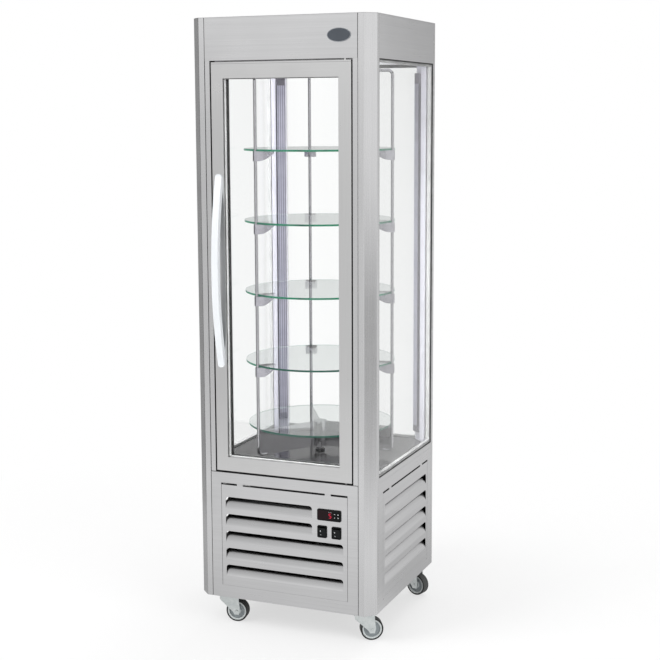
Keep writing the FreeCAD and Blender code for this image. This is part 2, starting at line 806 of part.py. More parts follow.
def web_plate():
    """The upright radial plate from the hub to the foot and upright of one rod, round its bend."""
    centre_x = ROD_CIRCLE - ROD_BEND_R
    centre_z = ARM_LOW + ROD_BEND_R
    inside = ROD_BEND_R - ROD_R - FIT
    half = WEB_THICK / 2
    low = ARM_LOW - ROD_R * 0.8
    high = LOW_DISC - DISC_THICK / 2 - FIT
    sweep = math.sqrt(0.5) * inside
    bend = Part.Arc(
        V(centre_x, 0, centre_z - inside),
        V(centre_x + sweep, 0, centre_z - sweep),
        V(centre_x + inside, 0, centre_z),
    )
    corners = [
        V(centre_x + inside, 0, centre_z), V(ROD_CIRCLE, 0, centre_z), V(ROD_CIRCLE, 0, high),
        V(HUB_R - 1.0, 0, high), V(HUB_R - 1.0, 0, low), V(centre_x, 0, low),
        V(centre_x, 0, centre_z - inside),
    ]
    edges = [bend.toShape()]
    for start, end in zip(corners[:-1], corners[1:]):
        edges.append(Part.makeLine(start, end))
    plate = Part.Face(Part.Wire(Part.__sortEdges__(edges))).extrude(V(0, WEB_THICK, 0))
    return moved(plate, 0, -half)


def spokes(shape):
    return [turned(shape, ROD_PHASE + n * 360.0 / ROD_COUNT) for n in range(ROD_COUNT)]


def build_carousel_frame():
    hub_low = ARM_LOW - ROD_R
    hub = cylinder(HUB_R, hub_low, LOW_DISC - DISC_THICK / 2 - FIT)
    spindle = cylinder(SPINDLE_R, spindle_bottom(), hub_low)
    top_hub = cylinder(HUB_R * 0.82, ARM_HIGH - 7.0, ARM_HIGH + 7.0)
    top_pin = cylinder(TOP_PIN_R, ARM_HIGH + 7.0, HEADER_BOTTOM - FIT)
    pieces = [hub, spindle, top_hub, top_pin] + spokes(bent_rod()) + spokes(web_plate())
    save("carousel_frame", fused(pieces))


def disc_levels():
    pitch = (ARM_HIGH - TOP_DISC_DROP - UPPER_DISC) / (UPPER_COUNT - 1)
    return [UPPER_DISC + n * pitch for n in range(UPPER_COUNT)]


def disc(radius, level):
    return cylinder(radius, level - DISC_THICK / 2, level + DISC_THICK / 2)


def build_discs():
    save("shelf_disc_1", disc(ROD_CIRCLE - ROD_R - LOW_DISC_GAP, LOW_DISC))
    for number, level in enumerate(disc_levels()):
        save("shelf_disc_" + str(number + 2), disc(ROD_CIRCLE - ROD_R - DISC_GAP, level))


def bracket(level):
    """A moulded wedge clamped to a rod, under the rim of an upper disc."""
    top = level - DISC_THICK / 2
    outer = ROD_CIRCLE
    tip = outer - BRACKET_REACH
    low = top - BRACKET_TALL
    collar = outer + ROD_R + COLLAR_WALL
    start = V(outer - ROD_R - COLLAR_WALL, 0, low)
    middle = V((outer + tip) / 2 - 4.0, 0, top - (BRACKET_TALL + BRACKET_TIP) / 2 - 3.0)
    end = V(tip, 0, top - BRACKET_TIP)
    edges = [
        Part.Arc(start, middle, end).toShape(),
        Part.makeLine(end, V(tip, 0, top)),
        Part.makeLine(V(tip, 0, top), V(collar, 0, top)),
        Part.makeLine(V(collar, 0, top), V(collar, 0, low)),
        Part.makeLine(V(collar, 0, low), start),
    ]
    face = Part.Face(Part.Wire(Part.__sortEdges__(edges)))
    wedge = face.extrude(V(0, BRACKET_WIDE, 0))
    wedge.translate(V(0, -BRACKET_WIDE / 2, 0))
    neck = ROD_R + COLLAR_WALL
    wide = BRACKET_WIDE / 2
    narrow = BRACKET_TIP_WIDE / 2
    shoulder = outer - 14.0
    plan = [
        (outer + neck, -neck / 2), (outer + neck / 2, -neck), (shoulder, -wide), (tip, -narrow),
        (tip, narrow), (shoulder, wide), (outer + neck / 2, neck), (outer + neck, neck / 2),
    ]
    wedge = wedge.common(prism(plan, low - 1, top + 1))
    bore = cylinder(ROD_R + FIT / 2, low - 1, top + 1, outer)
    return wedge.cut(bore)


def low_stop():
    """A small block on each foot plate, beside the rim, that keeps the lowest disc centred."""
    rim = ROD_CIRCLE - ROD_R - LOW_DISC_GAP
    low = LOW_DISC - DISC_THICK / 2
    high = LOW_DISC + DISC_THICK / 2
    return box(rim + FIT, ROD_CIRCLE - ROD_R - FIT, -6, 6, low, high - 0.5)


def build_brackets():
    shapes = []
    for level in disc_levels():
        shapes += spokes(bracket(level))
    save("shelf_brackets", *(shapes + spokes(low_stop())))


# ---------------------------------------------------------------- drive and cooling unit
def spindle_bottom():
    return FLOOR_TOP - FLOOR_THICK - MOTOR_TALL + 8.0


def build_drive():
    """Gearmotor under the insulated floor, with the bush that carries the spindle."""
    top = FLOOR_TOP - FLOOR_THICK - FIT
    low = top - MOTOR_TALL
    gearbox = box(-MOTOR_WIDE / 2, MOTOR_LONG - MOTOR_WIDE / 2, -MOTOR_WIDE / 2, MOTOR_WIDE / 2, low, top)
    can = cylinder(MOTOR_WIDE * 0.4, low - 58.0, low, MOTOR_LONG - MOTOR_WIDE)
    bush = cylinder(BUSH_R, top, FLOOR_TOP + BUSH_PROUD)
    bore = cylinder(SPINDLE_R + RUN_FIT, spindle_bottom() - FIT, FLOOR_TOP + BUSH_PROUD + 1)
    save("drive_motor", fused([gearbox, can, bush]).cut(bore))


def build_cooling():
    """Sealed compressor and finned condenser on the chassis plate."""
    floor = CASTOR_HEIGHT + CHASSIS
    x = -95.0
    y = 55.0
    low = floor + 5.0
    shell = cylinder(COMPRESSOR_R, low, low + COMPRESSOR_TALL, x, y)
    lid = cylinder(COMPRESSOR_R * 0.8, low, low + COMPRESSOR_TALL + 14.0, x, y)
    foot_half = COMPRESSOR_R + 14.0
    foot = box(x - foot_half, x + foot_half, y - 26, y + 26, floor, low)
    compressor = fused([shell, lid, foot])
    right = CARRY_HALF_W - 40.0
    left = right - COIL_DEEP
    coil_half = min(COIL_LONG, DEPTH - 2 * POST_INNER - 40.0) / 2
    coil = box(left, right, -coil_half, coil_half, floor, floor + COIL_TALL)
    grooves = []
    count = 9
    pitch = COIL_TALL / count
    for n in range(1, count):
        z = floor + n * pitch
        grooves.append(box(right - 6.0, right + 1, -coil_half - 1, coil_half + 1, z - 4.0, z + 4.0))
    half = COIL_TALL / 2 - 6.0
    shroud = box(left - 26.0, left, -half, half, floor, floor + COIL_TALL)
    mouth = Part.makeCylinder(COIL_TALL * 0.40, 20.0, V(left - 27.0, 0, floor + COIL_TALL / 2), V(1, 0, 0))
    save("cooling_unit", compressor, fused([coil.cut(grooves), shroud.cut(mouth)]))


def gland_place():
    return (-HALF_W + 120.0, HALF_D, CASTOR_HEIGHT + 19.0)


def build_gland():
    """Mains cord gland in the rear skirt: hexagon outside, thread and nut inside."""
    x, y, z = gland_place()
    hexagon = []
    for n in range(6):
        angle = math.radians(60 * n)
        hexagon.append(V(x + GLAND_R * math.cos(angle), y + FIT, z + GLAND_R * math.sin(angle)))
    head = Part.Face(Part.makePolygon(hexagon + hexagon[:1])).extrude(V(0, 9, 0))
    thread = Part.makeCylinder(GLAND_R - 3.0 - FIT, 16, V(x, y + 1, z), V(0, -1, 0))
    nut = Part.Face(Part.makePolygon(hexagon + hexagon[:1])).extrude(V(0, -5, 0))
    nut.translate(V(0, -SHEET - 2 * FIT, 0))
    bore = Part.makeCylinder(4.0, 60, V(x, y + 20, z), V(0, -1, 0))
    save("cord_gland", fused([head, thread, nut]).cut(bore))


# ---------------------------------------------------------------- controls
def key_places():
    x1 = control_right() - CONTROL_RIM - KEY / 2 - 1.5
    z0 = PANEL_TOP - CONTROL_HEAD - CONTROL_TALL / 2
    half = KEY_PITCH / 2
    return ((x1 - KEY_PITCH, z0 + half), (x1, z0 + half), (x1 - KEY_PITCH, z0 - half), (x1, z0 - half))


def build_controller():
    x1 = control_right()
    x0 = x1 - CONTROL_WIDE
    z1 = PANEL_TOP - CONTROL_HEAD
    z0 = z1 - CONTROL_TALL
    face = -HALF_D - CONTROL_LIP
    bezel = box(x0, x1, face, -HALF_D - 0.05, z0, z1)
    bezel = soften(bezel, CONTROL_CORNER, along_y)
    bx0, bx1, bz0, bz1 = control_box()
    body = box(bx0, bx1, -HALF_D - 0.5, -HALF_D + CONTROL_BODY_DEEP, bz0, bz1)
    pockets = []
    half = KEY / 2 + KEY_CLEAR
    for x, z in key_places():
        pockets.append(box(x - half, x + half, face - 1, face + KEY_THICK + 0.8, z - half, z + half))
    save("controller", fused([bezel, body]).cut(pockets))
    for number, (x, z) in enumerate(key_places()):
        h = KEY / 2
        key = box(x - h, x + h, face - KEY_PROUD, face + KEY_THICK, z - h, z + h)
        save("controller_key_" + str(number + 1), key)


def rocker(x):
    """A two-way rocker with a shallow V face, tilted to its rest side."""
    z = switch_centre_z()
    half_w = SWITCH_WIDE / 2 - SWITCH_WALL - ROCKER_CLEAR
    axle_y = -HALF_D + ROCKER_AXLE_DEPTH
    rise = math.tan(math.radians(ROCKER_TILT))
    face = -HALF_D - SWITCH_LIP
    top_y = face - 0.6
    reach = SWITCH_TALL / 2 - SWITCH_WALL - ROCKER_CLEAR
    half_t = math.sqrt(reach ** 2 - (axle_y - top_y + reach * rise * 0.5) ** 2)
    points = [
        (face + 0.4, z),
        (top_y - half_t * rise * 0.5, z + half_t),
        (axle_y + 1.0, z + half_t - 3.0),
        (axle_y + 4.0, z + 4.0),
        (axle_y + 4.0, z - 4.0),
        (axle_y + 1.0, z - half_t + 3.0),
        (top_y - half_t * rise * 0.5, z - half_t),
    ]
    body = side_prism(points, x - half_w, x + half_w)
    axle = Part.makeCylinder(ROCKER_AXLE_R, 2 * half_w + 2.4, V(x - half_w - 1.2, axle_y, z), V(1, 0, 0))
    whole = fused([body, axle])
    whole.rotate(V(x, axle_y, z), V(1, 0, 0), ROCKER_TILT)
    return whole


def build_switches():
    z = switch_centre_z()
    face = -HALF_D - SWITCH_LIP
    back = -HALF_D + SWITCH_DEEP
    shapes = []
    for name, x in zip(("left", "right"), switch_places()):
        half_w = SWITCH_WIDE / 2
        half_t = SWITCH_TALL / 2
        bezel = box(x - half_w, x + half_w, face, -HALF_D - 0.05, z - half_t, z + half_t)
        bezel = soften(bezel, SWITCH_CORNER, along_y)
        bx0, bx1, bz0, bz1 = switch_body(x)
        body = box(bx0, bx1, -HALF_D - 0.5, back, bz0, bz1)
        w = half_w - SWITCH_WALL
        t = half_t - SWITCH_WALL
        well = box(x - w, x + w, face - 1, back - 10.0, z - t, z + t)
        r = ROCKER_AXLE_R + RUN_FIT
        seat_y = -HALF_D + ROCKER_AXLE_DEPTH
        bore = Part.makeCylinder(r, 2 * w + 3.0, V(x - w - 1.5, seat_y, z), V(1, 0, 0))
        shapes.append(fused([bezel, body]).cut([well, bore]))
        save("rocker_" + name, rocker(x))
    save("switch_housings", *shapes)


# ---------------------------------------------------------------- castors
CASTORS = (
    ("front_left", -SWIVEL_X, -SWIVEL_Y, TURN_FL),
    ("front_right", SWIVEL_X, -SWIVEL_Y, TURN_FR),
    ("rear_right", SWIVEL_X, SWIVEL_Y, TURN_RR),
    ("rear_left", -SWIVEL_X, SWIVEL_Y, TURN_RL),
)


def placed(shape, x, y, turn):
    return moved(turned(shape, turn), x, y)


def castor_head():
    """The fixed race under the chassis, its threaded stem above it and the king pin below."""
    race_low = FORK_CROWN + FORK_SHEET + RACE_GAP
    race = cylinder(HEAD_R, race_low, CASTOR_HEIGHT)
    stem = cylinder(STEM_R, CASTOR_HEIGHT, CASTOR_HEIGHT + CHASSIS + 12.0)
    king = cylinder(KING_R, FORK_CROWN - 4.0, race_low)
    return fused([race, stem, king])


def fork_leg():
    """One leg of the fork, in the plane of the wheel, drawn from crown to axle."""
    boss = 11.5
    top = FORK_CROWN + FORK_SHEET
    back_x = -CROWN_R * 0.8
    front_x = TRAIL + FORK_FRONT
    points = [
        V(back_x, 0, top),
        V(back_x, 0, top - 13.0),
        V(TRAIL - boss, 0, WHEEL_R - boss * 0.3),
        V(TRAIL - boss * 0.7, 0, WHEEL_R - boss),
        V(TRAIL + boss * 0.7, 0, WHEEL_R - boss),
        V(TRAIL + boss, 0, WHEEL_R + boss * 0.3),
        V(front_x, 0, top - 16.0),
        V(front_x, 0, top),
    ]
    return Part.Face(Part.makePolygon(points + points[:1])).extrude(V(0, FORK_SHEET, 0))


def castor_fork():
    """Pressed fork: a crown plate on the king pin, two legs and the riveted axle."""
    side = WHEEL_WIDE / 2 + FORK_CLEAR
    crown_top = FORK_CROWN + FORK_SHEET
    bridge = box(-CROWN_R * 0.8, TRAIL + FORK_FRONT, -side, side, FORK_CROWN, crown_top)
    bore = cylinder(KING_R + RUN_FIT, FORK_CROWN - 1, crown_top + 1)
    leg = fork_leg()
    legs = [moved(leg, 0, side), moved(leg, 0, -side - FORK_SHEET)]
    length = 2 * (side + FORK_SHEET) + 5.0
    axle = Part.makeCylinder(AXLE_R, length, V(TRAIL, -length / 2, WHEEL_R), V(0, 1, 0))
    return fused([bridge] + legs + [axle]).cut(bore)


def wheel_profile(points):
    """Revolve (radius, across) points about the axle line."""
    ring = [V(TRAIL + r, y, WHEEL_R) for r, y in points]
    face = Part.Face(Part.makePolygon(ring + ring[:1]))
    return face.revolve(V(TRAIL, 0, WHEEL_R), V(0, 1, 0), 360)


def castor_hub():
    """Plastic hub: a boss as wide as the fork allows and a thinner web out to the tyre."""
    rim = WHEEL_R - TYRE_THICK - FIT
    boss = WHEEL_WIDE / 2 + FORK_CLEAR - 0.5
    bore = AXLE_R + RUN_FIT
    return wheel_profile([
        (bore, -boss), (HUB_BOSS_R, -boss), (HUB_BOSS_R, -HUB_WEB), (rim, -HUB_WEB),
        (rim, HUB_WEB), (HUB_BOSS_R, HUB_WEB), (HUB_BOSS_R, boss), (bore, boss),
    ])


def castor_tyre():
    """Rubber tyre with chamfered shoulders."""
    inner = WHEEL_R - TYRE_THICK
    half = WHEEL_WIDE / 2
    low = WHEEL_R - TYRE_SHOULDER
    side = half - TYRE_SHOULDER
    return wheel_profile([
        (inner, -half), (low, -half), (WHEEL_R, -side), (WHEEL_R, side), (low, half), (inner, half),
    ])


def build_castors():
    save("castor_heads", *[placed(castor_head(), x, y, 0) for _, x, y, _ in CASTORS])
    fork = castor_fork()
    hub = castor_hub()
    tyre = castor_tyre()
    for name, x, y, turn in CASTORS:
        save("castor_fork_" + name, placed(fork, x, y, turn))
        save("castor_hub_" + name, placed(hub, x, y, turn))
        save("castor_tyre_" + name, placed(tyre, x, y, turn))


def build_chassis():
    """Chassis plate with upturned edges, bolted to the castors and carrying the cooling unit."""
    low = CASTOR_HEIGHT
    half_w = CARRY_HALF_W
    half_d = CARRY_HALF_D
    corner = CORNER_SUM - 2 * FIT
    plan = octagon(half_w, half_d, corner)
    tray = prism(plan, low, low + CHASSIS_EDGE)
    inner = octagon(half_w - CHASSIS, half_d - CHASSIS, corner - 2 * CHASSIS)
    tray = tray.cut(prism(inner, low + CHASSIS, low + CHASSIS_EDGE + 1))
    holes = [cylinder(STEM_R + FIT, low - 1, low + CHASSIS + 1, x, y) for _, x, y, _ in CASTORS]
    x, y, z = gland_place()
    holes.append(box(x - GLAND_R - 1, x + GLAND_R + 1, half_d - 6, half_d + 1, low + 5, low + 60))
    save("chassis_tray", tray.cut(holes))


# ---------------------------------------------------------------- build
def main():
    os.makedirs("parts", exist_ok=True)
    build_posts()
    build_chassis()
    build_base_panels()
    build_louvre_panels()
    build_header()
    build_badge()
    build_chamber()
    build_sill_rails()
    build_glazing()
    build_light_strips()
    build_seal_frame()
    build_pivots()
    build_door_frame()
    build_door_glass()
    build_door_gasket()
    build_handle()
    build_carousel_frame()
    build_discs()
    build_brackets()
    build_drive()
    build_cooling()
    build_gland()
    build_controller()
    build_switches()
    build_castors()


main()
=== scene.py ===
"""Looks of a revolving refrigerated display cabinet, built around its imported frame.

Everything is in metres in the row frame: the floor is z = 0 and the door faces -Y.
"""

import json
import math

import bmesh
import bpy
from mathutils import Matrix, Vector


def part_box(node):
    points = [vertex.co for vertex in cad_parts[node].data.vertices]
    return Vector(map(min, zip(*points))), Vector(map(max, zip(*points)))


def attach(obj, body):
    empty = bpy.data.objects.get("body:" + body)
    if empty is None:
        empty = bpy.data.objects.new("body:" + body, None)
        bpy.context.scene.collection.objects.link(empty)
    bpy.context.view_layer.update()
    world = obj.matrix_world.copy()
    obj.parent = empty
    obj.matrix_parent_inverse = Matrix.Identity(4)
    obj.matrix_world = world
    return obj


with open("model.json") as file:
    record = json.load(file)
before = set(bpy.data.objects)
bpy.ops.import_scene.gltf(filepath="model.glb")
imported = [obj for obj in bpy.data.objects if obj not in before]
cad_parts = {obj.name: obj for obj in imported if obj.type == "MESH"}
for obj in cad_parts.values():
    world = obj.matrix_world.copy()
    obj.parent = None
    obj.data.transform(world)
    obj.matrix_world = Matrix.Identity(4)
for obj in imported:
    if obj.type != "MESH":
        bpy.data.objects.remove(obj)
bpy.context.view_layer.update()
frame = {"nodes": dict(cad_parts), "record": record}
NODES = frame["nodes"]

MM = 0.001
WHITE = (1.0, 1.0, 1.0, 1.0)
BLACK_OUT = (0.0, 0.0, 0.0, 1.0)
CASTORS = ("front_left", "front_right", "rear_left", "rear_right")


# ------------------------------------------------------------------ small helpers
def grey(level, tint=(1.0, 1.0, 1.0)):
    """A linear colour from an sRGB level of 0 to 255 and a tint."""
    value = level / 255
    linear = value / 12.92 if value < 0.04045 else ((value + 0.055) / 1.055) ** 2.4
    return (linear * tint[0], linear * tint[1], linear * tint[2], 1.0)


def rgb(red, green, blue):
    """A linear colour from sRGB channels of 0 to 255."""
    return (grey(red)[0], grey(green)[0], grey(blue)[0], 1.0)


class Shader:
    """A material under construction: a Principled shader and short names for the nodes behind it."""

    def __init__(self, name, **sockets):
        self.material = bpy.data.materials.new(name)
        self.material.use_nodes = True
        self.tree = self.material.node_tree
        self.tree.nodes.clear()
        self.output = self.node("ShaderNodeOutputMaterial")
        self.bsdf = self.node("ShaderNodeBsdfPrincipled")
        self.link(self.bsdf.outputs["BSDF"], self.output.inputs["Surface"])
        self.place = self.node("ShaderNodeTexCoord").outputs["Object"]
        for socket, value in sockets.items():
            self.bsdf.inputs[socket.replace("_", " ")].default_value = value

    def node(self, kind, **settings):
        made = self.tree.nodes.new(kind)
        for setting, value in settings.items():
            setattr(made, setting, value)
        return made

    def link(self, source, target):
        self.tree.links.new(source, target)

    def noise(self, scale=(1, 1, 1), size=1.0, detail=4.0, rough=0.6):
        mapping = self.node("ShaderNodeMapping")
        mapping.inputs["Scale"].default_value = scale
        self.link(self.place, mapping.inputs["Vector"])
        made = self.node("ShaderNodeTexNoise")
        made.inputs["Scale"].default_value = size
        made.inputs["Detail"].default_value = detail
        made.inputs["Roughness"].default_value = rough
        self.link(mapping.outputs["Vector"], made.inputs["Vector"])
        return made.outputs["Fac"]

    def ramp(self, source, stops):
        made = self.node("ShaderNodeValToRGB")
        band = made.color_ramp
        band.elements[0].position, band.elements[0].color = stops[0]
        band.elements[1].position, band.elements[1].color = stops[-1]
        for position, colour in stops[1:-1]:
            band.elements.new(position).color = colour
        self.link(source, made.inputs["Fac"])
        return made.outputs["Color"]

    def spread(self, source, low, high, start=0.3, end=0.7):
        made = self.node("ShaderNodeMapRange")
        for socket, value in (("From Min", start), ("From Max", end), ("To Min", low), ("To Max", high)):
            made.inputs[socket].default_value = value
        self.link(source, made.inputs["Value"])
        return made.outputs["Result"]

    def maths(self, operation, first, second=None):
        made = self.node("ShaderNodeMath", operation=operation)
        for socket, value in zip(made.inputs, (first, second)):
            if isinstance(value, (int, float)):
                socket.default_value = value
            elif value is not None:
                self.link(value, socket)
        return made.outputs[0]

    def mix(self, factor, first, second, mode="MIX"):
        """Mixes two colours, each a socket or a plain colour."""
        made = self.node("ShaderNodeMix", data_type="RGBA", blend_type=mode)
        for socket, value in ((made.inputs[0], factor), (made.inputs[6], first), (made.inputs[7], second)):
            if isinstance(value, (int, float, tuple)):
                socket.default_value = value
            else:
                self.link(value, socket)
        return made.outputs[2]

    def axis(self, name):
        made = self.node("ShaderNodeSeparateXYZ")
        self.link(self.place, made.inputs[0])
        return made.outputs[name]

    def off_middle(self, name):
        """Distance from the middle of the cabinet along X or Y."""
        return self.maths("ABSOLUTE", self.axis(name))

    def times(self, *factors):
        """The product of two or more sockets or numbers."""
        product = factors[0]
        for factor in factors[1:]:
            product = self.maths("MULTIPLY", product, factor)
        return product

    def depth(self):
        """How far a point lies inside the nearest side face or chamfer of the cabinet."""
        half = NODE_SIZES["half"]
        x, y = self.off_middle("X"), self.off_middle("Y")
        flat = self.maths("SUBTRACT", half, self.maths("MAXIMUM", x, y))
        corner = self.maths("SUBTRACT", 2 * half - POST_CHAMFER, self.maths("ADD", x, y))
        return self.maths("MINIMUM", flat, self.times(corner, math.sqrt(0.5)))

    def enclosed(self):
        """1 on a face in a narrow gap, falling to 0 in the open."""
        occlusion = self.node("ShaderNodeAmbientOcclusion", samples=4)
        occlusion.inputs["Distance"].default_value = GAP_REACH
        return self.spread(occlusion.outputs["AO"], 1.0, 0.0, *GAP_LIGHT)

    def inward(self):
        """1 on faces that look towards the middle of the cabinet."""
        normal = self.node("ShaderNodeSeparateXYZ")
        self.link(self.node("ShaderNodeNewGeometry").outputs["True Normal"], normal.inputs[0])
        across = self.times(normal.outputs["X"], self.axis("X"))
        deep = self.times(normal.outputs["Y"], self.axis("Y"))
        return self.maths("LESS_THAN", self.maths("ADD", across, deep), LOOKS_INWARD)

    def within(self, source, low, high):
        """1 between two limits, 0 outside them."""
        return self.times(self.maths("GREATER_THAN", source, low), self.maths("LESS_THAN", source, high))

    def along(self, centre, direction):
        """Distance from a point, measured along a direction."""
        shift = self.node("ShaderNodeVectorMath", operation="SUBTRACT")
        self.link(self.place, shift.inputs[0])
        shift.inputs[1].default_value = tuple(centre)
        dot = self.node("ShaderNodeVectorMath", operation="DOT_PRODUCT")
        self.link(shift.outputs["Vector"], dot.inputs[0])
        dot.inputs[1].default_value = tuple(direction)
        return dot.outputs["Value"]

    def colour(self, source):
        self.link(source, self.bsdf.inputs["Base Color"])

    def rough(self, source):
        self.link(source, self.bsdf.inputs["Roughness"])

    def bump(self, source, strength, depth, edge=0.0):
        """Fine relief, on edges that are rounded by the given radius."""
        made = self.node("ShaderNodeBump")
        made.inputs["Strength"].default_value = strength
        made.inputs["Distance"].default_value = depth
        self.link(source, made.inputs["Height"])
        if edge:
            rounded = self.node("ShaderNodeBevel", samples=4)
            rounded.inputs["Radius"].default_value = edge
            self.link(rounded.outputs["Normal"], made.inputs["Normal"])
        self.link(made.outputs["Normal"], self.bsdf.inputs["Normal"])


# ------------------------------------------------------------------ materials
GRAIN_ACROSS = 900.0
GRAIN_ALONG = 4.0
HORIZONTAL = (GRAIN_ALONG, GRAIN_ALONG, GRAIN_ACROSS)
VERTICAL = (GRAIN_ACROSS, GRAIN_ACROSS, GRAIN_ALONG)
LENGTHWISE = (GRAIN_ALONG, GRAIN_ACROSS, GRAIN_ALONG)
POST_CHAMFER = 30.4 * MM

# Painted shade by depth, from the outer face (0) to RECESS_DEEP inside it (1)
RECESS_DEEP = 32.5 * MM
FRONT_RECESS_SHADE = [(0.0, WHITE), (0.15, grey(242)), (0.4, grey(200)), (0.65, grey(152)), (0.9, grey(104)),
                (1.0, grey(40))]
SIDE_RECESS_SHADE = [(0.0, WHITE), (0.5, grey(244)), (0.9, grey(214)), (0.965, grey(176)), (1.0, grey(20))]
POST_BACK_SHADE = [(0.0, WHITE), (0.16, grey(242)), (0.3, grey(90)), (0.5, grey(30)), (1.0, grey(16))]
# Painted shade inside the base, in the slits, in the grooves and on the door's edges
INSIDE_SHADE = grey(14)
SLIT_SHADE = grey(18)
GROOVE_SHADE = grey(20)
DOOR_EDGE_SHADE = grey(30)
# Painted light: the pale lavender of the posts' deep faces in the chamber, as lit by the strips
CHAMBER_PAINTED_LIGHT = rgb(236, 234, 246)

FRONT_Y = -0.262                # faces further forward than this belong to the front
LOOKS_INWARD = -0.03            # normal times distance from the middle, below which a face looks inward
GAP_REACH = 12 * MM             # how far away a surface still closes a gap
GAP_LIGHT = (0.45, 0.85)        # occlusion of a closed gap and of an open one
AT_FACE = 0.3 * MM              # a point this near a level lies on it
EDGE_SHADE_SHARE = 0.85               # how strongly the edges beside the door's lower gap are darkened
BASE_EDGE_TALL = 1.3 * MM
DOOR_FOOT_TALL = 1.1 * MM
SLIT_BELOW = 4.7 * MM
SLIT_ABOVE = 1.2 * MM
SLIT_END = 214.8 * MM           # from the middle of the panel
SLIT_TAB = (139.5 * MM, 160.5 * MM)
# Depth past which the posts' faces in the chamber get painted light
POST_PAINTED_LIGHT_DEPTH = 20 * MM
GROOVE_IN_CHAMBER = 0.45        # strength of the groove beside the chamber


def on_front(made):
    """1 on the front of the cabinet."""
    return made.maths("LESS_THAN", made.axis("Y"), FRONT_Y)


def recess(made, base):
    """Paint shade into the colour: the louvres darken by depth, and the slits over them, the door's gap and
    the inside of the base go dark.
    """
    along = made.maths("DIVIDE", made.depth(), RECESS_DEEP)
    shade = made.mix(on_front(made), made.ramp(along, SIDE_RECESS_SHADE), made.ramp(along, FRONT_RECESS_SHADE))
    dark = made.mix(1.0, base, shade, "MULTIPLY")
    top = NODE_SIZES["slit_top"]
    beside = made.maths("MINIMUM", made.off_middle("X"), made.off_middle("Y"))
    between_tabs = made.maths("SUBTRACT", 1.0, made.within(beside, *SLIT_TAB))
    slit_shade = made.times(made.within(made.axis("Z"), top - SLIT_BELOW, top + SLIT_ABOVE),
                      made.maths("LESS_THAN", beside, SLIT_END), between_tabs)
    # Painted shade: the door's gap faces and the inside of the base go dark, and so does each slit
    dark = made.mix(made.maths("MAXIMUM", door_gap_painted_shade(made), inside_base_painted_shade(made)), dark, INSIDE_SHADE)
    return made.mix(slit_shade, dark, SLIT_SHADE)


def inside_base_painted_shade(made):
    """1 on faces inside the base, which no light reaches; they get painted shade."""
    below_chamber = made.maths("LESS_THAN", made.axis("Z"), NODE_SIZES["sill"] - 5 * MM)
    return made.times(made.inward(), below_chamber)


def door_gap_painted_shade(made):
    """Painted shade: 1 on the faces of header and base that the door's edges run along, less on the base's
    front edge.
    """
    z = made.axis("Z")
    low, high = NODE_SIZES["sill"], NODE_SIZES["head"]
    faces = made.maths("ADD", made.within(z, low - AT_FACE, low + AT_FACE),
                       made.within(z, high - AT_FACE, high + AT_FACE))
    faces = made.times(faces, made.maths("GREATER_THAN", made.depth(), 0.8 * MM), made.enclosed())
    edge = made.times(made.within(z, low - BASE_EDGE_TALL, low + AT_FACE), on_front(made), EDGE_SHADE_SHARE)
    return made.maths("MAXIMUM", faces, edge)


def post_recess(made, base):
    """Paint shade into the posts behind the panels, beside the door and in the groove beside each front
    panel.

    The deep faces that look into the chamber get painted light instead: pale lavender and nearly non-metal,
    for the strips' light on them.
    """
    depth = made.depth()
    x = made.off_middle("X")
    chamber = made.within(made.axis("Z"), NODE_SIZES["chamber_low"], NODE_SIZES["chamber_high"])
    pale = made.times(chamber, made.maths("GREATER_THAN", depth, POST_PAINTED_LIGHT_DEPTH))
    # Painted light on the deep faces in the chamber
    made.link(made.spread(pale, 1.0, 0.1, 0.0, 1.0), made.bsdf.inputs["Metallic"])
    base = made.mix(pale, base, CHAMBER_PAINTED_LIGHT)
    shade = made.ramp(made.maths("DIVIDE", depth, RECESS_DEEP), POST_BACK_SHADE)
    dark = made.mix(made.maths("SUBTRACT", 1.0, chamber), base, made.mix(1.0, base, shade, "MULTIPLY"))
    dark = made.mix(inside_base_painted_shade(made), dark, INSIDE_SHADE)
    # Painted shade in the seam groove and in the door's gap, the gap's fading as the door opens
    seam = NODE_SIZES["seam"]
    groove = made.times(made.within(x, seam - 1.75 * MM, seam + 0.05 * MM),
                        made.within(depth, 0.3 * MM, 5.2 * MM),
                        made.spread(chamber, 1.0, GROOVE_IN_CHAMBER, 0.0, 1.0))
    edge = NODE_SIZES["post_inner"]
    gap = made.times(made.within(x, edge - 0.5 * MM, edge + 0.5 * MM),
                     made.maths("GREATER_THAN", depth, 2.0 * MM), made.enclosed())
    black = made.times(on_front(made), made.maths("MAXIMUM", groove, gap))
    return made.mix(black, dark, GROOVE_SHADE)


def clouded(made, base, scale):
    """A colour with slow clouds of tone over it."""
    slow = made.ramp(made.noise(scale, detail=2.0), [(0.3, grey(249)), (0.7, grey(255))])
    return made.mix(1.0, base, slow, "MULTIPLY")


def brushed(name, level, grain=HORIZONTAL, rough=0.3, contrast=5, tint=(1, 1, 1.01), edge=0.0006, shade=None,
            metal=1.0):
    """Brushed metal: long fine grain, slow clouds of tone and a few finger smudges."""
    made = Shader(name, Metallic=metal)
    lines = made.noise(grain, detail=6.0, rough=0.7)
    broad = made.noise(tuple(scale * 0.12 for scale in grain), detail=3.0)
    smudge = made.noise((7, 7, 9), detail=5.0, rough=0.65)
    base = made.ramp(lines, [(0.3, grey(level - contrast, tint)), (0.7, grey(level + contrast, tint))])
    streak = made.ramp(broad, [(0.35, grey(250)), (0.65, grey(255))])
    base = made.mix(1.0, clouded(made, base, (2.2, 2.2, 2.2)), streak, "MULTIPLY")
    made.colour(shade(made, base) if shade else base)
    worn = made.spread(smudge, rough - 0.03, rough + 0.04)
    made.rough(made.maths("ADD", worn, made.spread(lines, -0.03, 0.04)))
    made.bump(lines, 0.08, 0.0002, edge)
    return made.material


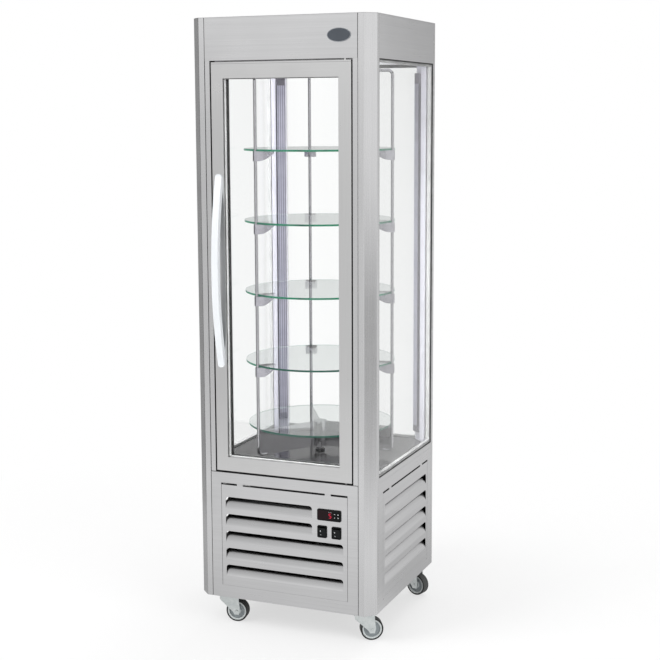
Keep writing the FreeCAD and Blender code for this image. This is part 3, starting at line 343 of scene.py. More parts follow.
def door_metal(name, level):
    """Brushed door frame: the grain follows stiles and rails, and painted shade darkens the edges in the gap,
    fading as the door opens, a fold line under the top edge and the front's lowest edge.
    """
    made = Shader(name, Metallic=1.0)
    low, high = NODE_SIZES["door_low"], NODE_SIZES["door_high"]
    z, side, depth = made.axis("Z"), made.off_middle("X"), made.depth()
    along = made.noise(HORIZONTAL, detail=6.0, rough=0.7)
    upward = made.noise(VERTICAL, detail=6.0, rough=0.7)
    on_stile = made.maths("GREATER_THAN", side, NODE_SIZES["window_half"])
    lines = made.mix(on_stile, along, upward)
    base = made.ramp(lines, [(0.3, grey(level - 5)), (0.7, grey(level + 5))])
    base = clouded(made, base, (2.5, 2.5, 1.6))
    # Painted shade in the fold under the top edge
    fold_shade = made.times(made.within(z, high.z - 5.6 * MM, high.z - 4.4 * MM),
                      made.maths("LESS_THAN", depth, 0.4 * MM), 0.45)
    base = made.mix(fold_shade, base, grey(90))
    # Painted shade on the edges in the gap and along the front's lowest edge
    ends = made.maths("SUBTRACT", 1.0, made.within(z, low.z + AT_FACE, high.z - AT_FACE))
    rim = made.maths("MAXIMUM", ends, made.maths("GREATER_THAN", side, high.x - AT_FACE))
    rim = made.times(rim, made.maths("GREATER_THAN", depth, 2.2 * MM), made.enclosed())
    foot_shade = made.times(made.maths("LESS_THAN", z, low.z + DOOR_FOOT_TALL), EDGE_SHADE_SHARE)
    made.colour(made.mix(made.maths("MAXIMUM", rim, foot_shade), base, DOOR_EDGE_SHADE))
    smudge = made.noise((9, 9, 12), detail=5.0, rough=0.65)
    made.rough(made.spread(smudge, 0.27, 0.35))
    made.bump(lines, 0.08, 0.0002, 0.0007)
    return made.material


def polished(name, level, rough=0.08, tint=(1, 1, 1)):
    """Smooth plated or polished metal with faint wipe marks."""
    made = Shader(name, Metallic=1.0)
    film = made.noise((14, 14, 14), detail=6.0, rough=0.7)
    made.colour(made.ramp(film, [(0.3, grey(level - 6, tint)), (0.7, grey(level + 4, tint))]))
    made.rough(made.spread(film, rough * 0.7, rough * 1.5))
    made.bump(film, 0.03, 0.0003)
    return made.material


def zinc(name):
    """Bright zinc plating over pressed steel, with fine spangle."""
    made = Shader(name, Metallic=0.85)
    spangle = made.node("ShaderNodeTexVoronoi")
    spangle.inputs["Scale"].default_value = 160.0
    made.link(made.place, spangle.inputs["Vector"])
    fine = made.noise((60, 60, 60), detail=5.0)
    tone = made.ramp(fine, [(0.3, rgb(214, 220, 220)), (0.7, rgb(238, 242, 241))])
    flake = made.ramp(spangle.outputs["Distance"], [(0.0, grey(244)), (1.0, grey(255))])
    made.colour(made.mix(1.0, tone, flake, "MULTIPLY"))
    made.rough(made.spread(fine, 0.34, 0.5))
    made.bump(fine, 0.1, 0.0002, 0.0005)
    return made.material


def moulded(name, colour, rough=0.45, speckle=0.5, depth=0.0001, **sockets):
    """Moulded plastic: slight tone drift, a fine spark-eroded grain and rubbed patches."""
    made = Shader(name, **sockets)
    fine = made.noise((900, 900, 900), detail=3.0)
    drift = made.noise((25, 25, 25), detail=3.0)
    dark = tuple(c * 0.88 for c in colour[:3]) + (1.0,)
    pale = tuple(min(1.0, c * 1.08 + 0.002) for c in colour[:3]) + (1.0,)
    made.colour(made.ramp(drift, [(0.3, dark), (0.7, pale)]))
    made.rough(made.spread(drift, rough - 0.06, rough + 0.08))
    made.bump(fine, speckle, depth)
    return made.material


def rubber(name, level, rough=0.75):
    """Matt rubber with dust in its pores."""
    made = Shader(name)
    pores = made.noise((320, 320, 320), detail=4.0)
    dust = made.noise((30, 30, 30), detail=5.0, rough=0.7)
    made.colour(made.ramp(dust, [(0.35, grey(level)), (0.75, grey(level + 16, (1.0, 1.0, 0.98)))]))
    made.rough(made.spread(dust, rough - 0.1, rough + 0.1))
    made.bump(pores, 0.3, 0.0002)
    return made.material


# Distances across a tyre from its middle
TYRE_WALL = 13.4 * MM
TYRE_GROOVES = ((4.2 * MM, 5.6 * MM), (9.6 * MM, 10.8 * MM))


def tyre(name, place):
    """Grey dusty rubber with darker side walls and two darker grooves on each half of the tread."""
    made = Shader(name)
    centre, axis = wheel_line(place)
    pores = made.noise((320, 320, 320), detail=4.0)
    dust = made.noise((40, 40, 40), detail=5.0, rough=0.7)
    across = made.maths("ABSOLUTE", made.along(centre, axis))
    tread = made.ramp(dust, [(0.35, grey(66, (1.0, 1.03, 1.02))), (0.75, grey(92))])
    wall = made.maths("GREATER_THAN", across, TYRE_WALL)
    inner, outer = (made.within(across, *edges) for edges in TYRE_GROOVES)
    groove = made.times(made.maths("MAXIMUM", inner, outer), 0.75)
    tone = made.mix(groove, tread, grey(30))
    made.colour(made.mix(wall, tone, grey(38, (0.95, 1.02, 1.02))))
    made.rough(made.spread(dust, 0.62, 0.85))
    made.bump(pores, 0.3, 0.0002)
    return made.material


def glass(name, tint, density, film_level, ior, rim=None):
    """Float glass, clear through its thickness and green along it, with a rim in the given colour that also
    glows faintly as painted light, if one is given.
    """
    made = Shader(name, Transmission_Weight=1.0, IOR=ior, Roughness=0.0)
    film = made.noise((3, 3, 3), detail=4.0)
    tone = made.ramp(film, [(0.35, (film_level, film_level, film_level, 1.0)), (0.7, WHITE)])
    if rim:
        side = made.node("ShaderNodeSeparateXYZ")
        made.link(made.node("ShaderNodeNewGeometry").outputs["Normal"], side.inputs[0])
        ground = made.maths("LESS_THAN", made.maths("ABSOLUTE", side.outputs["Z"]), 0.5)
        tone = made.mix(ground, tone, rim)
        # Painted light: the rim glows faintly in its own colour
        made.link(made.mix(ground, BLACK_OUT, rim), made.bsdf.inputs["Emission Color"])
        made.bsdf.inputs["Emission Strength"].default_value = 0.55
    made.colour(tone)
    body = made.node("ShaderNodeVolumeAbsorption")
    body.inputs["Color"].default_value = tint
    body.inputs["Density"].default_value = density
    made.link(body.outputs["Volume"], made.output.inputs["Volume"])
    return made.material


RIB_PITCH = 560.0               # radians per metre across a light strip
STRIP_HALF = 20.0 * MM
STRIP_CAP_LOW = 22 * MM
STRIP_CAP_HIGH = 34 * MM


def opal(name):
    """Ribbed lavender-grey diffuser of the light strips, with darker edges and end caps."""
    made = Shader(name, Roughness=0.35)
    film = made.noise((2, 2, 14), detail=3.0)
    tone = made.ramp(film, [(0.3, rgb(176, 174, 192)), (0.7, rgb(200, 198, 214))])
    across = made.maths("SUBTRACT", made.off_middle("X"), made.axis("Y"))
    rib = made.maths("SINE", made.times(across, RIB_PITCH))
    tone = made.mix(made.spread(rib, 0.0, 0.7, 0.2, 0.95), tone, rgb(72, 68, 92))
    edge = made.maths("GREATER_THAN", made.maths("ABSOLUTE", across), STRIP_HALF)
    tone = made.mix(edge, tone, rgb(62, 58, 70))
    low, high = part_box("light_strips")
    middle = made.within(made.axis("Z"), low.z + STRIP_CAP_LOW, high.z - STRIP_CAP_HIGH)
    made.colour(made.mix(middle, rgb(104, 100, 112), tone))
    return made.material


def lined(name, level):
    """Satin white-coated sheet with a fine rolled grain; it glows faintly, for the strips that light it."""
    made = Shader(name, Metallic=0.15, Emission_Color=(0.97, 0.96, 1.0, 1.0), Emission_Strength=0.25)
    grain = made.noise(LENGTHWISE, detail=5.0, rough=0.7)
    tint = (1.0, 0.99, 1.04)
    made.colour(made.ramp(grain, [(0.3, grey(level - 4, tint)), (0.7, grey(level + 4, tint))]))
    made.rough(made.spread(grain, 0.36, 0.46))
    made.bump(grain, 0.08, 0.0002)
    return made.material


def painted(name, colour, rough=0.5):
    """Stoved machine paint with orange peel."""
    made = Shader(name, Coat_Weight=0.2)
    peel = made.noise((120, 120, 120), detail=2.0)
    drift = made.noise((8, 8, 8), detail=4.0)
    dark = tuple(c * 0.8 for c in colour[:3]) + (1.0,)
    made.colour(made.ramp(drift, [(0.3, dark), (0.7, colour)]))
    made.rough(made.spread(drift, rough - 0.08, rough + 0.08))
    made.bump(peel, 0.15, 0.0003)
    return made.material


def glowing(name, colour, strength):
    """A lit display segment, a little uneven across its face."""
    made = Shader(name, Roughness=0.4, Emission_Strength=strength)
    fine = made.noise((400, 400, 400), detail=2.0)
    dim = tuple(c * 0.8 for c in colour[:3]) + (1.0,)
    tone = made.ramp(fine, [(0.3, dim), (0.7, colour)])
    made.colour(tone)
    made.link(tone, made.bsdf.inputs["Emission Color"])
    return made.material


def node_sizes():
    """Sizes that materials and pieces share, read from the frame."""
    spacer_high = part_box("door_spacer")[1]
    door_low, door_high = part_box("door_frame")
    panel_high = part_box("louvre_panel_front")[1]
    base_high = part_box("base_panel_front")[1]
    header_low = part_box("header_panels")[0]
    return {
        "window_half": spacer_high.x - 9.2 * MM,
        "door_low": door_low,
        "door_high": door_high,
        "half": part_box("header_panels")[1].x,
        "slit_top": panel_high.z,
        "sill": base_high.z,
        "head": header_low.z,
        "chamber_low": base_high.z - 1 * MM,
        "chamber_high": header_low.z + 1 * MM,
        "seam": base_high.x + 1.7 * MM,
        "post_inner": door_high.x + 4.0 * MM,
    }


def wheel_line(place):
    """Centre of a wheel and its axle direction, from its joint."""
    joints = {joint["name"]: joint for joint in frame["record"]["behaviour"]["joints"]}
    roll = joints["roll_" + place]
    return Vector(roll["pos_m"]), Vector(roll["axis"]).normalized()


NODE_SIZES = node_sizes()

STEEL = brushed("stainless_horizontal", 222, shade=recess)
STEEL_TOP = brushed("stainless_lengthwise", 222, LENGTHWISE)
POST = brushed("post_vertical", 222, VERTICAL, rough=0.26, shade=post_recess)
LINER = brushed("liner_steel", 120, HORIZONTAL, rough=0.3)
FLOOR_STEEL = polished("chamber_floor_steel", 62, 0.1, (0.99, 0.97, 1.06))
CEILING = lined("ceiling_white", 248)
DOOR = door_metal("door_metal_brushed", 222)
SEAL_FRAME = brushed("seal_frame_steel", 216, VERTICAL, rough=0.35)
HANDLE = brushed("handle_satin", 243, VERTICAL, rough=0.3, contrast=3, tint=(0.97, 1.0, 1.03), metal=0.15)
PIN = polished("pin_steel_ground", 236, 0.2)
CHROME = polished("chrome_rod", 192, 0.06, (1.0, 0.99, 1.03))
SPACER = moulded("spacer_aluminium", rgb(232, 232, 232), 0.4, 0.2, Metallic=0.2)
ZINC = zinc("zinc_plate")
RIM = moulded("hub_light_grey", rgb(206, 211, 211), 0.36)
HUB = moulded("hub_grey", rgb(142, 149, 152), 0.42)
TYRES = {place: tyre("tyre_rubber_" + place, place) for place in CASTORS}
SEAL = rubber("seal_rubber_black", 22, 0.6)
PANE = glass("float_glass", (0.62, 0.95, 0.84, 1.0), 1.5, 1.0, 1.2)
SHELF = glass("shelf_glass_green", (0.5, 0.94, 0.80, 1.0), 7.0, 0.995, 1.35, rgb(58, 118, 102))
OPAL = opal("opal_diffuser")
BRACKET = polished("bracket_grey", 190, 0.2, (1.0, 0.98, 1.07))
BADGE = moulded("badge_blue_grey", rgb(64, 69, 76), 0.35)
BADGE_RIM = moulded("badge_rim_grey", rgb(140, 144, 148), 0.35)
BLACK = moulded("control_black", rgb(10, 12, 13), 0.6, Specular_IOR_Level=0.2)
KEYS = moulded("key_black", rgb(14, 15, 17), 0.6, Specular_IOR_Level=0.2)
ROCKER = moulded("rocker_black", rgb(10, 14, 15), 0.55, Specular_IOR_Level=0.25)
MARK = moulded("mark_white", rgb(226, 228, 230), 0.5)
WINDOW = moulded("display_window_red", rgb(24, 5, 9), 0.3, 0.05, Specular_IOR_Level=0.2)
LIT_RED = glowing("segment_red", (0.55, 0.0, 0.035, 1.0), 0.8)
LAMP = moulded("lamp_lens_white", rgb(215, 216, 220), 0.3)
PAINT = painted("machine_black", rgb(28, 29, 32))
SCREW = polished("screw_steel", 205, 0.25)


def finish_node(node, material):
    """Fill every slot of a CAD node with one material."""
    for slot in NODES[node].material_slots:
        slot.material = material


def finish_nodes():
    """Give every CAD node its material, and let light through the glass."""
    plain = {
        STEEL: ("base_panel_front", "base_side_panels", "louvre_panel_front", "louvre_side_panels",
                "header_panels", "sill_rails"),
        STEEL_TOP: ("top_cover",),
        POST: ("corner_post_front_left", "corner_post_front_right", "corner_post_rear_left",
               "corner_post_rear_right"),
        FLOOR_STEEL: ("chamber_floor",),
        CEILING: ("chamber_ceiling",),
        DOOR: ("door_frame",),
        SEAL_FRAME: ("door_seal_frame",),
        HANDLE: ("door_handle",),
        PIN: ("door_pivots",),
        PANE: ("door_glass", "fixed_glass_left", "fixed_glass_rear", "fixed_glass_right"),
        SHELF: tuple("shelf_disc_" + str(n) for n in range(1, 6)),
        SPACER: ("door_spacer", "glass_spacers"),
        SEAL: ("door_gasket", "glazing_seals"),
        CHROME: ("carousel_frame",),
        BRACKET: ("shelf_brackets",),
        OPAL: ("light_strips",),
        BADGE: ("header_badge",),
        BLACK: ("controller", "switch_housings"),
        KEYS: tuple("controller_key_" + str(n) for n in range(1, 5)),
        ROCKER: ("rocker_left", "rocker_right"),
        LINER: ("chassis_tray",),
        PAINT: ("cooling_unit", "drive_motor", "cord_gland"),
        ZINC: ("castor_heads",) + tuple("castor_fork_" + place for place in CASTORS),
        HUB: tuple("castor_hub_" + place for place in CASTORS),
    }
    for place in CASTORS:
        finish_node("castor_tyre_" + place, TYRES[place])
    for material, names in plain.items():
        for name in names:
            finish_node(name, material)
    for name, node in NODES.items():
        if "glass" in name and "spacer" not in name or "shelf_disc" in name:
            node.visible_shadow = False


# ------------------------------------------------------------------ mesh pieces
def new_object(name, data):
    """An object in the scene that shows some data."""
    made = bpy.data.objects.new(name, data)
    bpy.context.scene.collection.objects.link(made)
    return made


def mesh_object(name, mesh, material):
    """Turn a bmesh into an object of one material."""
    data = bpy.data.meshes.new(name)
    mesh.to_mesh(data)
    mesh.free()
    data.materials.append(material)
    return new_object(name, data)


def piece(name, mesh, material, body, bevel=0.0, smooth=False):
    """Wrap a bmesh as a named piece that rides on a body."""
    bmesh.ops.recalc_face_normals(mesh, faces=mesh.faces)
    made = mesh_object(name, mesh, material)
    if smooth:
        made.data.shade_smooth()
    if bevel:
        round_edges = made.modifiers.new("edges", "BEVEL")
        round_edges.width = bevel
        round_edges.segments = 2
        round_edges.limit_method = "ANGLE"
    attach(made, body)
    return made


def add_prism(mesh, outline, front, back):
    """Add a prism of (x, z) points between two depths y."""
    near = [mesh.verts.new((x, front, z)) for x, z in outline]
    far = [mesh.verts.new((x, back, z)) for x, z in outline]
    mesh.faces.new(near)
    mesh.faces.new(far[::-1])
    count = len(outline)
    for n in range(count):
        after = (n + 1) % count
        mesh.faces.new((near[n], near[after], far[after], far[n]))


def rounded(x, z, wide, tall, radius, steps=5):
    """The outline of a rounded rectangle about a centre."""
    points = []
    corners = ((1, 1, 0), (-1, 1, 90), (-1, -1, 180), (1, -1, 270))
    for sx, sz, start in corners:
        cx = x + sx * (wide / 2 - radius)
        cz = z + sz * (tall / 2 - radius)
        for n in range(steps + 1):
            angle = math.radians(start + 90 * n / steps)
            points.append((cx + radius * math.cos(angle), cz + radius * math.sin(angle)))
    return points


def add_lathe(mesh, profile, steps, place):
    """Revolve (radius, height) points about a local Z axis and put them in place with a matrix."""
    rings = []
    for radius, height in profile:
        ring = []
        for n in range(steps):
            angle = 2 * math.pi * n / steps
            point = Vector((radius * math.cos(angle), radius * math.sin(angle), height))
            ring.append(mesh.verts.new(place @ point))
        rings.append(ring)
    join_rings(mesh, rings)


def join_rings(mesh, rings):
    """Join each ring of vertices to the next, and the last to the first."""
    for low, high in zip(rings, rings[1:] + rings[:1]):
        for n in range(len(low)):
            after = (n + 1) % len(low)
            mesh.faces.new((low[n], low[after], high[after], high[n]))


def facing(x, y, z, out):
    """A matrix that turns local Z to a direction, at a point."""
    turn = Vector((0, 0, 1)).rotation_difference(Vector(out).normalized())
    return Matrix.Translation((x, y, z)) @ turn.to_matrix().to_4x4()


SCREW_PROUD = 0.5 * MM
SCREW_R = 3.5 * MM
SCREW_ALONG = 211 * MM
SCREW_Z = 133 * MM


def screw_profile(radius, proud):
    """Half the section of a low screw head with a round recess."""
    inner = 0.2 * MM
    slot = radius * 0.42
    return [(inner, proud * 0.35), (slot, proud * 0.35), (slot, proud * 0.9), (radius * 0.8, proud),
            (radius, proud * 0.45), (radius, -proud), (inner, -proud)]


def build_side_screws():
    """Two screws low on the right side and two on the rear; on the left they would pass the CAD box."""
    half_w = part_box("base_side_panels")[1].x
    half_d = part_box("base_side_panels")[1].y
    mesh = bmesh.new()
    for x, y, out_x, out_y in ((half_w, 0, 1, 0), (0, half_d, 0, 1)):
        for along in (-SCREW_ALONG, SCREW_ALONG):
            place = facing(x + along * out_y, y + along * out_x, SCREW_Z, (out_x, out_y, 0))
            add_lathe(mesh, screw_profile(SCREW_R, SCREW_PROUD), 20, place)
    piece("side_panel_screws", mesh, SCREW, "cabinet")


# The bars of a seven-segment 5: place across and up from its middle, and whether the bar stands upright
FIVE = ((0, 1, False), (-1, 0.5, True), (0, 0, False), (1, -0.5, True), (0, -1, False))
DIGIT_TALL = 13 * MM
DIGIT_WIDE = 6.5 * MM
DIGIT_BAR = 1.5 * MM
LAMP_DOT = [(0.1 * MM, 0.4 * MM), (0.6 * MM, 0.3 * MM), (0.8 * MM, -0.2 * MM), (0.1 * MM, -0.2 * MM)]
LAMP_APART = 4.2 * MM


def segment_outline(x, z, wide, thick, upright):
    """A hexagonal bar of a seven-segment digit."""
    half = wide / 2
    t = thick / 2
    bar = [(-half, 0), (-half + t, t), (half - t, t), (half, 0), (half - t, -t), (-half + t, -t)]
    if upright:
        bar = [(-v, u) for u, v in bar]
    return [(x + u, z + v) for u, v in bar]


def build_display():
    """The controller's window, one lit digit on it and a row of three small lamps over the digit."""
    low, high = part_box("controller")
    key_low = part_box("controller_key_1")[0]
    face = low.y
    z = (low.z + high.z) / 2
    left = low.x + 3.5 * MM
    right = key_low.x - 3.0 * MM
    mesh = bmesh.new()
    outline = rounded((left + right) / 2, z, right - left, high.z - low.z - 7 * MM, 2 * MM)
    add_prism(mesh, outline, face - 0.3 * MM, face + 0.5 * MM)
    piece("display_window", mesh, WINDOW, "cabinet", 0.2 * MM)
    digit = bmesh.new()
    x = right - 9 * MM
    for across, up, upright in FIVE:
        size = (DIGIT_TALL / 2 if upright else DIGIT_WIDE) - 0.4 * MM
        bar_x = x + across * DIGIT_WIDE / 2
        bar_z = z - 1 * MM + up * DIGIT_TALL / 2
        outline = segment_outline(bar_x, bar_z, size, DIGIT_BAR, upright)
        add_prism(digit, outline, face - 0.45 * MM, face - 0.25 * MM)
    piece("display_digit", digit, LIT_RED, "cabinet")
    lamps = bmesh.new()
    for step in (-1, 0, 1):
        place = facing(x + step * LAMP_APART, face - 0.3 * MM, z + DIGIT_TALL / 2 + 3.4 * MM, (0, -1, 0))
        add_lathe(lamps, LAMP_DOT, 12, place)
    piece("display_lamps", lamps, LAMP, "cabinet")


def arrow(x, z, size, up):
    """The outline of an arrowhead that points up or down."""
    sign = 1 if up else -1
    return [(x, z + sign * size), (x - size, z - sign * size * 0.8), (x + size, z - sign * size * 0.8)]


def build_key_marks():
    """Plain symbols on the four keys: a bar, a dot, an up and a down arrow."""
    for number in range(1, 5):
        low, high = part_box("controller_key_" + str(number))
        x = (low.x + high.x) / 2
        z = (low.z + high.z) / 2
        mesh = bmesh.new()
        if number == 1:
            outline = rounded(x, z, 3.2 * MM, 1.1 * MM, 0.4 * MM, 3)
        elif number == 3:
            outline = rounded(x, z, 2.2 * MM, 2.2 * MM, 1.05 * MM, 4)
        else:
            outline = arrow(x, z, 1.9 * MM, number == 2)
        add_prism(mesh, outline, low.y - 0.12 * MM, low.y + 0.1 * MM)
        piece("key_mark_" + str(number), mesh, MARK, "key_" + str(number))


# The V face of a rocker: its tilt at rest in degrees, its axle behind the panel, its valley before the axle
ROCKER_TILT = 9.0
ROCKER_AXLE_DEPTH = 3.0 * MM
ROCKER_VALLEY = 5.2 * MM
ROCKER_SLOPE = 0.152
RING = [(0.5 * MM, 0.12 * MM), (1.1 * MM, 0.12 * MM), (1.1 * MM, -0.1 * MM), (0.5 * MM, -0.1 * MM)]


def on_rocker(axle, across, up):
    """A matrix that puts local (x, y out, z) on the V face of a rocker at its rest tilt."""
    turn = Matrix.Rotation(math.radians(ROCKER_TILT), 4, "X")
    lean = Matrix.Rotation(math.copysign(math.atan(ROCKER_SLOPE), up), 4, "X")
    out = -ROCKER_VALLEY - abs(up) * ROCKER_SLOPE
    return Matrix.Translation(axle) @ turn @ Matrix.Translation((across, out, up)) @ lean


def build_switch_marks():
    """A bar on the upper half and a ring on the lower half of each rocker."""
    y = -NODE_SIZES["half"] + ROCKER_AXLE_DEPTH
    housing_low, housing_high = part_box("switch_housings")
    z = (housing_low.z + housing_high.z) / 2
    for side in ("left", "right"):
        low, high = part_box("rocker_" + side)
        axle = Vector(((low.x + high.x) / 2, y, z))
        mesh = bmesh.new()
        add_prism(mesh, rounded(0, 0, 2.6 * MM, 3.6 * MM, 0.4 * MM, 2), -0.15 * MM, 0.1 * MM)
        mesh.transform(on_rocker(axle, -5.5 * MM, 2.6 * MM))
        add_lathe(mesh, RING, 16, on_rocker(axle, -4.0 * MM, -9.0 * MM) @ facing(0, 0, 0, (0, -1, 0)))
        piece("switch_mark_" + side, mesh, MARK, "rocker_" + side)


def build_badge_rim():
    """A raised rim round the bare oval of the badge."""
    low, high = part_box("header_badge")
    x = (low.x + high.x) / 2
    z = (low.z + high.z) / 2
    steps = 48
    thick = 1.6 * MM
    mesh = bmesh.new()
    rings = []
    for inset, proud in ((0.0, 0.0), (0.2 * MM, 0.5 * MM), (thick, 0.5 * MM), (thick + 0.3 * MM, 0.0)):
        ring = []
        for n in range(steps):
            angle = 2 * math.pi * n / steps
            across = ((high.x - low.x) / 2 - inset) * math.cos(angle)
            up = ((high.z - low.z) / 2 - inset) * math.sin(angle)
            ring.append(mesh.verts.new((x + across, low.y - proud, z + up)))
        rings.append(ring)
    join_rings(mesh, rings)
    piece("badge_rim", mesh, BADGE_RIM, "cabinet", smooth=True)


# Castor trim, as (radius, height) over the hub's web or at the axle's end
HUB_WEB = 10.0 * MM
AXLE_END = 21.0 * MM
OUTER_RIM = [(25.2 * MM, -0.2 * MM), (25.8 * MM, 3.6 * MM), (30.2 * MM, 4.6 * MM), (30.9 * MM, 4.0 * MM),
             (31.0 * MM, -0.2 * MM)]
INNER_RIM = [(10.2 * MM, -0.2 * MM), (10.2 * MM, 2.4 * MM), (12.6 * MM, 1.8 * MM), (13.4 * MM, -0.2 * MM)]
AXLE_CAP = [(0.2 * MM, 1.4 * MM), (2.6 * MM, 1.2 * MM), (4.6 * MM, 0.4 * MM), (5.2 * MM, -1.4 * MM),
            (0.2 * MM, -1.4 * MM)]


def build_castor_trim():
    """Raised rims on both faces of each hub and the riveted ends of each axle."""
    for place in CASTORS:
        centre, axis = wheel_line(place)
        rims = bmesh.new()
        caps = bmesh.new()
        for side in (-1, 1):
            out = axis * side
            base = centre + out * HUB_WEB
            on_web = facing(base.x, base.y, base.z, out)
            add_lathe(rims, OUTER_RIM, 56, on_web)
            add_lathe(rims, INNER_RIM, 40, on_web)
            end = centre + out * AXLE_END
            add_lathe(caps, AXLE_CAP, 28, facing(end.x, end.y, end.z, out))
        piece("castor_rim_" + place, rims, RIM, "wheel_" + place, smooth=True)
        piece("axle_caps_" + place, caps, ZINC, "castor_" + place, smooth=True)


# ------------------------------------------------------------------ stage
def build_world():
    """White to sight, gloss and glass; a plain soft level for the light it gives."""
    world = bpy.data.worlds.new("studio")
    bpy.context.scene.world = world
    world.use_nodes = True
    tree = world.node_tree
    tree.nodes.clear()
    output = tree.nodes.new("ShaderNodeOutputWorld")
    back = tree.nodes.new("ShaderNodeBackground")
    path = tree.nodes.new("ShaderNodeLightPath")
    seen = path.outputs["Is Camera Ray"]
    for other in ("Is Glossy Ray", "Is Transmission Ray"):
        add = tree.nodes.new("ShaderNodeMath")
        add.operation = "MAXIMUM"
        tree.links.new(seen, add.inputs[0])
        tree.links.new(path.outputs[other], add.inputs[1])
        seen = add.outputs[0]
    level = tree.nodes.new("ShaderNodeMapRange")
    level.inputs["To Min"].default_value = 0.55
    level.inputs["To Max"].default_value = 1.0
    tree.links.new(seen, level.inputs["Value"])
    back.inputs["Color"].default_value = WHITE
    tree.links.new(level.outputs["Result"], back.inputs["Strength"])
    tree.links.new(back.outputs["Background"], output.inputs["Surface"])


FLOOR_HALF = 30


def floor_sheet(material):
    """The square of the floor."""
    mesh = bmesh.new()
    corners = ((-1, -1), (1, -1), (1, 1), (-1, 1))
    mesh.faces.new([mesh.verts.new((u * FLOOR_HALF, v * FLOOR_HALF, 0)) for u, v in corners])
    made = mesh_object("floor", mesh, material)


def build_floor():
    """A white floor that takes the object's shadow; in reflections it has the levels of FLOOR_ROUND."""
    made = Shader("floor_white")
    made.tree.nodes.remove(made.bsdf)
    x = made.axis("X")
    y = made.axis("Y")
    reach = made.maths("SQRT", made.maths("ADD", made.times(x, x), made.times(y, y)))
    dull = made.node("ShaderNodeBsdfDiffuse")
    dull.inputs["Color"].default_value = grey(248)
    glow = made.node("ShaderNodeEmission")
    glow.inputs["Color"].default_value = WHITE
    share = made.times(looked_at(made), made.spread(reach, 0.62, 1.0, 0.6, 2.2))
    seen = blended(made, share, dull, glow)
    dim = made.node("ShaderNodeEmission")
    tone = made.ramp(around(made), turn_stops(FLOOR_ROUND))
    far = made.spread(reach, 0.0, 1.0, 0.7, 1.7)
    rising = made.ramp(far, [(0.0, level(0.78)), (1.0, WHITE)])
    made.link(made.mix(1.0, tone, rising, "MULTIPLY"), dim.inputs["Color"])
    made.link(blended(made, mirrored(made), seen, dim).outputs[0], made.output.inputs["Surface"])
    floor_sheet(made.material)


WALL_R = 1.6
WALL_TALL = 3.4
WALL_STEPS = 120
# Light of the studio round the object, for its reflections: degrees from +X, level of 0 to 1
ROUND = [(0, 0.9), (45, 0.86), (56, 0.6), (86, 0.6), (98, 0.7), (130, 0.62), (168, 0.5), (178, 0.10),
         (218, 0.10), (230, 0.62), (242, 0.76), (252, 0.93), (280, 0.95), (300, 0.8), (330, 0.8), (350, 0.9)]
FLOOR_ROUND = [(0, 0.9), (35, 0.72), (75, 0.73), (110, 0.74), (135, 0.64), (175, 0.6), (215, 0.6), (238, 0.9),
               (300, 0.93), (320, 1.0), (350, 1.0)]
# Height in metres and level of the wall beside the left chamfer, right chamfer, right side and front
LEFT_RISE = [(0.0, 0.46), (0.3, 0.30), (0.9, 0.27), (2.6, 0.27)]
RIGHT_RISE = [(0.0, 0.95), (0.36, 0.60), (0.83, 0.44), (1.33, 0.90), (1.95, 1.0)]
SIDE_RISE = [(0.0, 0.74), (1.2, 0.66), (1.95, 0.47)]
FRONT_RISE = [(0.0, 0.98), (0.28, 0.83), (0.6, 0.70), (1.6, 0.74), (2.0, 0.97)]
# Where each of those stands on the wall, in degrees from +X, with a soft border inside its ends
ZONES = ((138, 166, LEFT_RISE), (322, 352, RIGHT_RISE), (54, 90, SIDE_RISE), (228, 272, FRONT_RISE))
ZONE_BORDER = 6


def level(value):
    """A linear grey."""
    return (value, value, value, 1.0)


def turn_stops(levels):
    """Ramp stops over a full turn, from (degrees, level) pairs."""
    return [(degrees / 360, level(value)) for degrees, value in levels]


def rise(made, stops):
    """A tone that changes with height, from (height, level) pairs."""
    top = stops[-1][0]
    return made.ramp(made.maths("DIVIDE", made.axis("Z"), top), [(z / top, level(v)) for z, v in stops])


def around(made):
    """The azimuth of a point, as 0 to 1 of a full turn from +X."""
    turn = made.maths("ARCTAN2", made.axis("Y"), made.axis("X"))
    full = 2 * math.pi
    return made.maths("DIVIDE", made.maths("MODULO", made.maths("ADD", turn, 2 * full), full), full)


def mirrored(made):
    """1 for a ray that a metal or glass surface has reflected."""
    path = made.node("ShaderNodeLightPath")
    return made.maths("GREATER_THAN", path.outputs["Glossy Depth"], 0.5)


def looked_at(made):
    """1 for a ray from the camera, straight or through glass, and 0 for one that lights a surface."""
    path = made.node("ShaderNodeLightPath")
    seen = made.maths("MAXIMUM", path.outputs["Is Camera Ray"], path.outputs["Is Transmission Ray"])
    lighting = made.maths("GREATER_THAN", path.outputs["Diffuse Depth"], 0.5)
    return made.times(seen, made.maths("SUBTRACT", 1.0, lighting))


def blended(made, factor, first, second):
    """Two shaders mixed by a socket."""
    blend = made.node("ShaderNodeMixShader")
    made.link(factor, blend.inputs[0])
    made.link(first.outputs[0], blend.inputs[1])
    made.link(second.outputs[0], blend.inputs[2])
    return blend


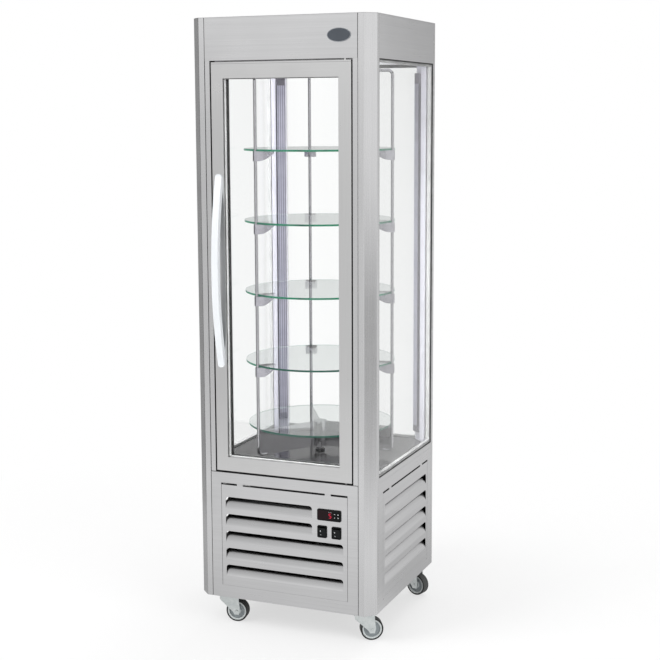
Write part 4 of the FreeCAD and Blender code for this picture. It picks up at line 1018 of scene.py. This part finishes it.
def build_wall():
    """A soft grey cyclorama round the object that only its reflections show."""
    made = Shader("wall_soft")
    made.tree.nodes.remove(made.bsdf)
    turn = around(made)
    tone = made.ramp(turn, turn_stops(ROUND))
    for low, high, stops in ZONES:
        zone = ((low, 0.0), (low + ZONE_BORDER, 1.0), (high - ZONE_BORDER, 1.0), (high, 0.0))
        tone = made.mix(made.ramp(turn, turn_stops(zone)), tone, rise(made, stops))
    glow = made.node("ShaderNodeEmission")
    made.link(tone, glow.inputs["Color"])
    clear = made.node("ShaderNodeBsdfTransparent")
    made.link(blended(made, mirrored(made), clear, glow).outputs[0], made.output.inputs["Surface"])
    mesh = bmesh.new()
    angles = [math.radians(360 // WALL_STEPS * n) for n in range(WALL_STEPS)]
    around_object = [(WALL_R * math.cos(angle), WALL_R * math.sin(angle)) for angle in angles]
    low, high = ([mesh.verts.new((x, y, z)) for x, y in around_object] for z in (0.0, WALL_TALL))
    for n in range(WALL_STEPS):
        after = (n + 1) % WALL_STEPS
        mesh.faces.new((low[n], high[n], high[after], low[after]))
    wall = mesh_object("wall", mesh, made.material)
    wall.visible_camera = False
    wall.visible_diffuse = False
    wall.visible_shadow = False


# Name, place and watts of each lamp; all are of one size and aim at one point
LAMPS = (
    ("key_light", (-2.6, -3.2, 3.6), 130),
    ("fill_light", (3.4, -2.0, 2.2), 60),
    ("back_light", (0.5, 3.4, 3.4), 60),
)
LAMP_SIZE = 2.4
LAMP_AIM = Vector((0, 0, 0.9))


def build_lamps():
    """Soft square lamps that neither the camera nor a reflection shows."""
    for name, place, watts in LAMPS:
        data = bpy.data.lights.new(name, "AREA")
        data.shape = "SQUARE"
        data.size = LAMP_SIZE
        data.energy = watts
        made = new_object(name, data)
        made.location = place
        made.rotation_euler = (LAMP_AIM - Vector(place)).to_track_quat("-Z", "Y").to_euler()
        made.visible_glossy = False
        made.visible_camera = False


# The camera fitted to the picture: lengths in its pixels, place in metres, turns in radians
PICTURE_WIDTH = 660.0
FOCAL = 1363.88
CENTRE_ROW = 308.0
CAMERA_PLACE = (1.71249, -4.05018, 1.63148)
YAW, PITCH, ROLL = 0.39243, 0.14098, -0.00422


def build_camera():
    """The viewing angle of the picture."""
    data = bpy.data.cameras.new("camera")
    data.sensor_width = 36.0
    data.lens = FOCAL / PICTURE_WIDTH * data.sensor_width
    data.shift_y = (CENTRE_ROW - PICTURE_WIDTH / 2) / PICTURE_WIDTH
    forward = Vector((-math.sin(YAW) * math.cos(PITCH), math.cos(YAW) * math.cos(PITCH), -math.sin(PITCH)))
    sideways = Vector((math.cos(YAW), math.sin(YAW), 0))
    above = sideways.cross(forward)
    right = math.cos(ROLL) * sideways + math.sin(ROLL) * above
    up = math.cos(ROLL) * above - math.sin(ROLL) * sideways
    turn = Matrix((right, up, -forward)).transposed().to_4x4()
    made = new_object("camera", data)
    made.matrix_world = Matrix.Translation(CAMERA_PLACE) @ turn
    bpy.context.scene.camera = made


def main():
    """Finish the CAD nodes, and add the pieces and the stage."""
    scene = bpy.context.scene
    scene.view_settings.view_transform = "Standard"
    scene.cycles.max_bounces = 24
    scene.cycles.transmission_bounces = 24
    scene.cycles.glossy_bounces = 8
    scene.cycles.transparent_max_bounces = 24
    finish_nodes()
    build_side_screws()
    build_display()
    build_key_marks()
    build_switch_marks()
    build_badge_rim()
    build_castor_trim()
    build_world()
    build_floor()
    build_wall()
    build_lamps()
    build_camera()


main()
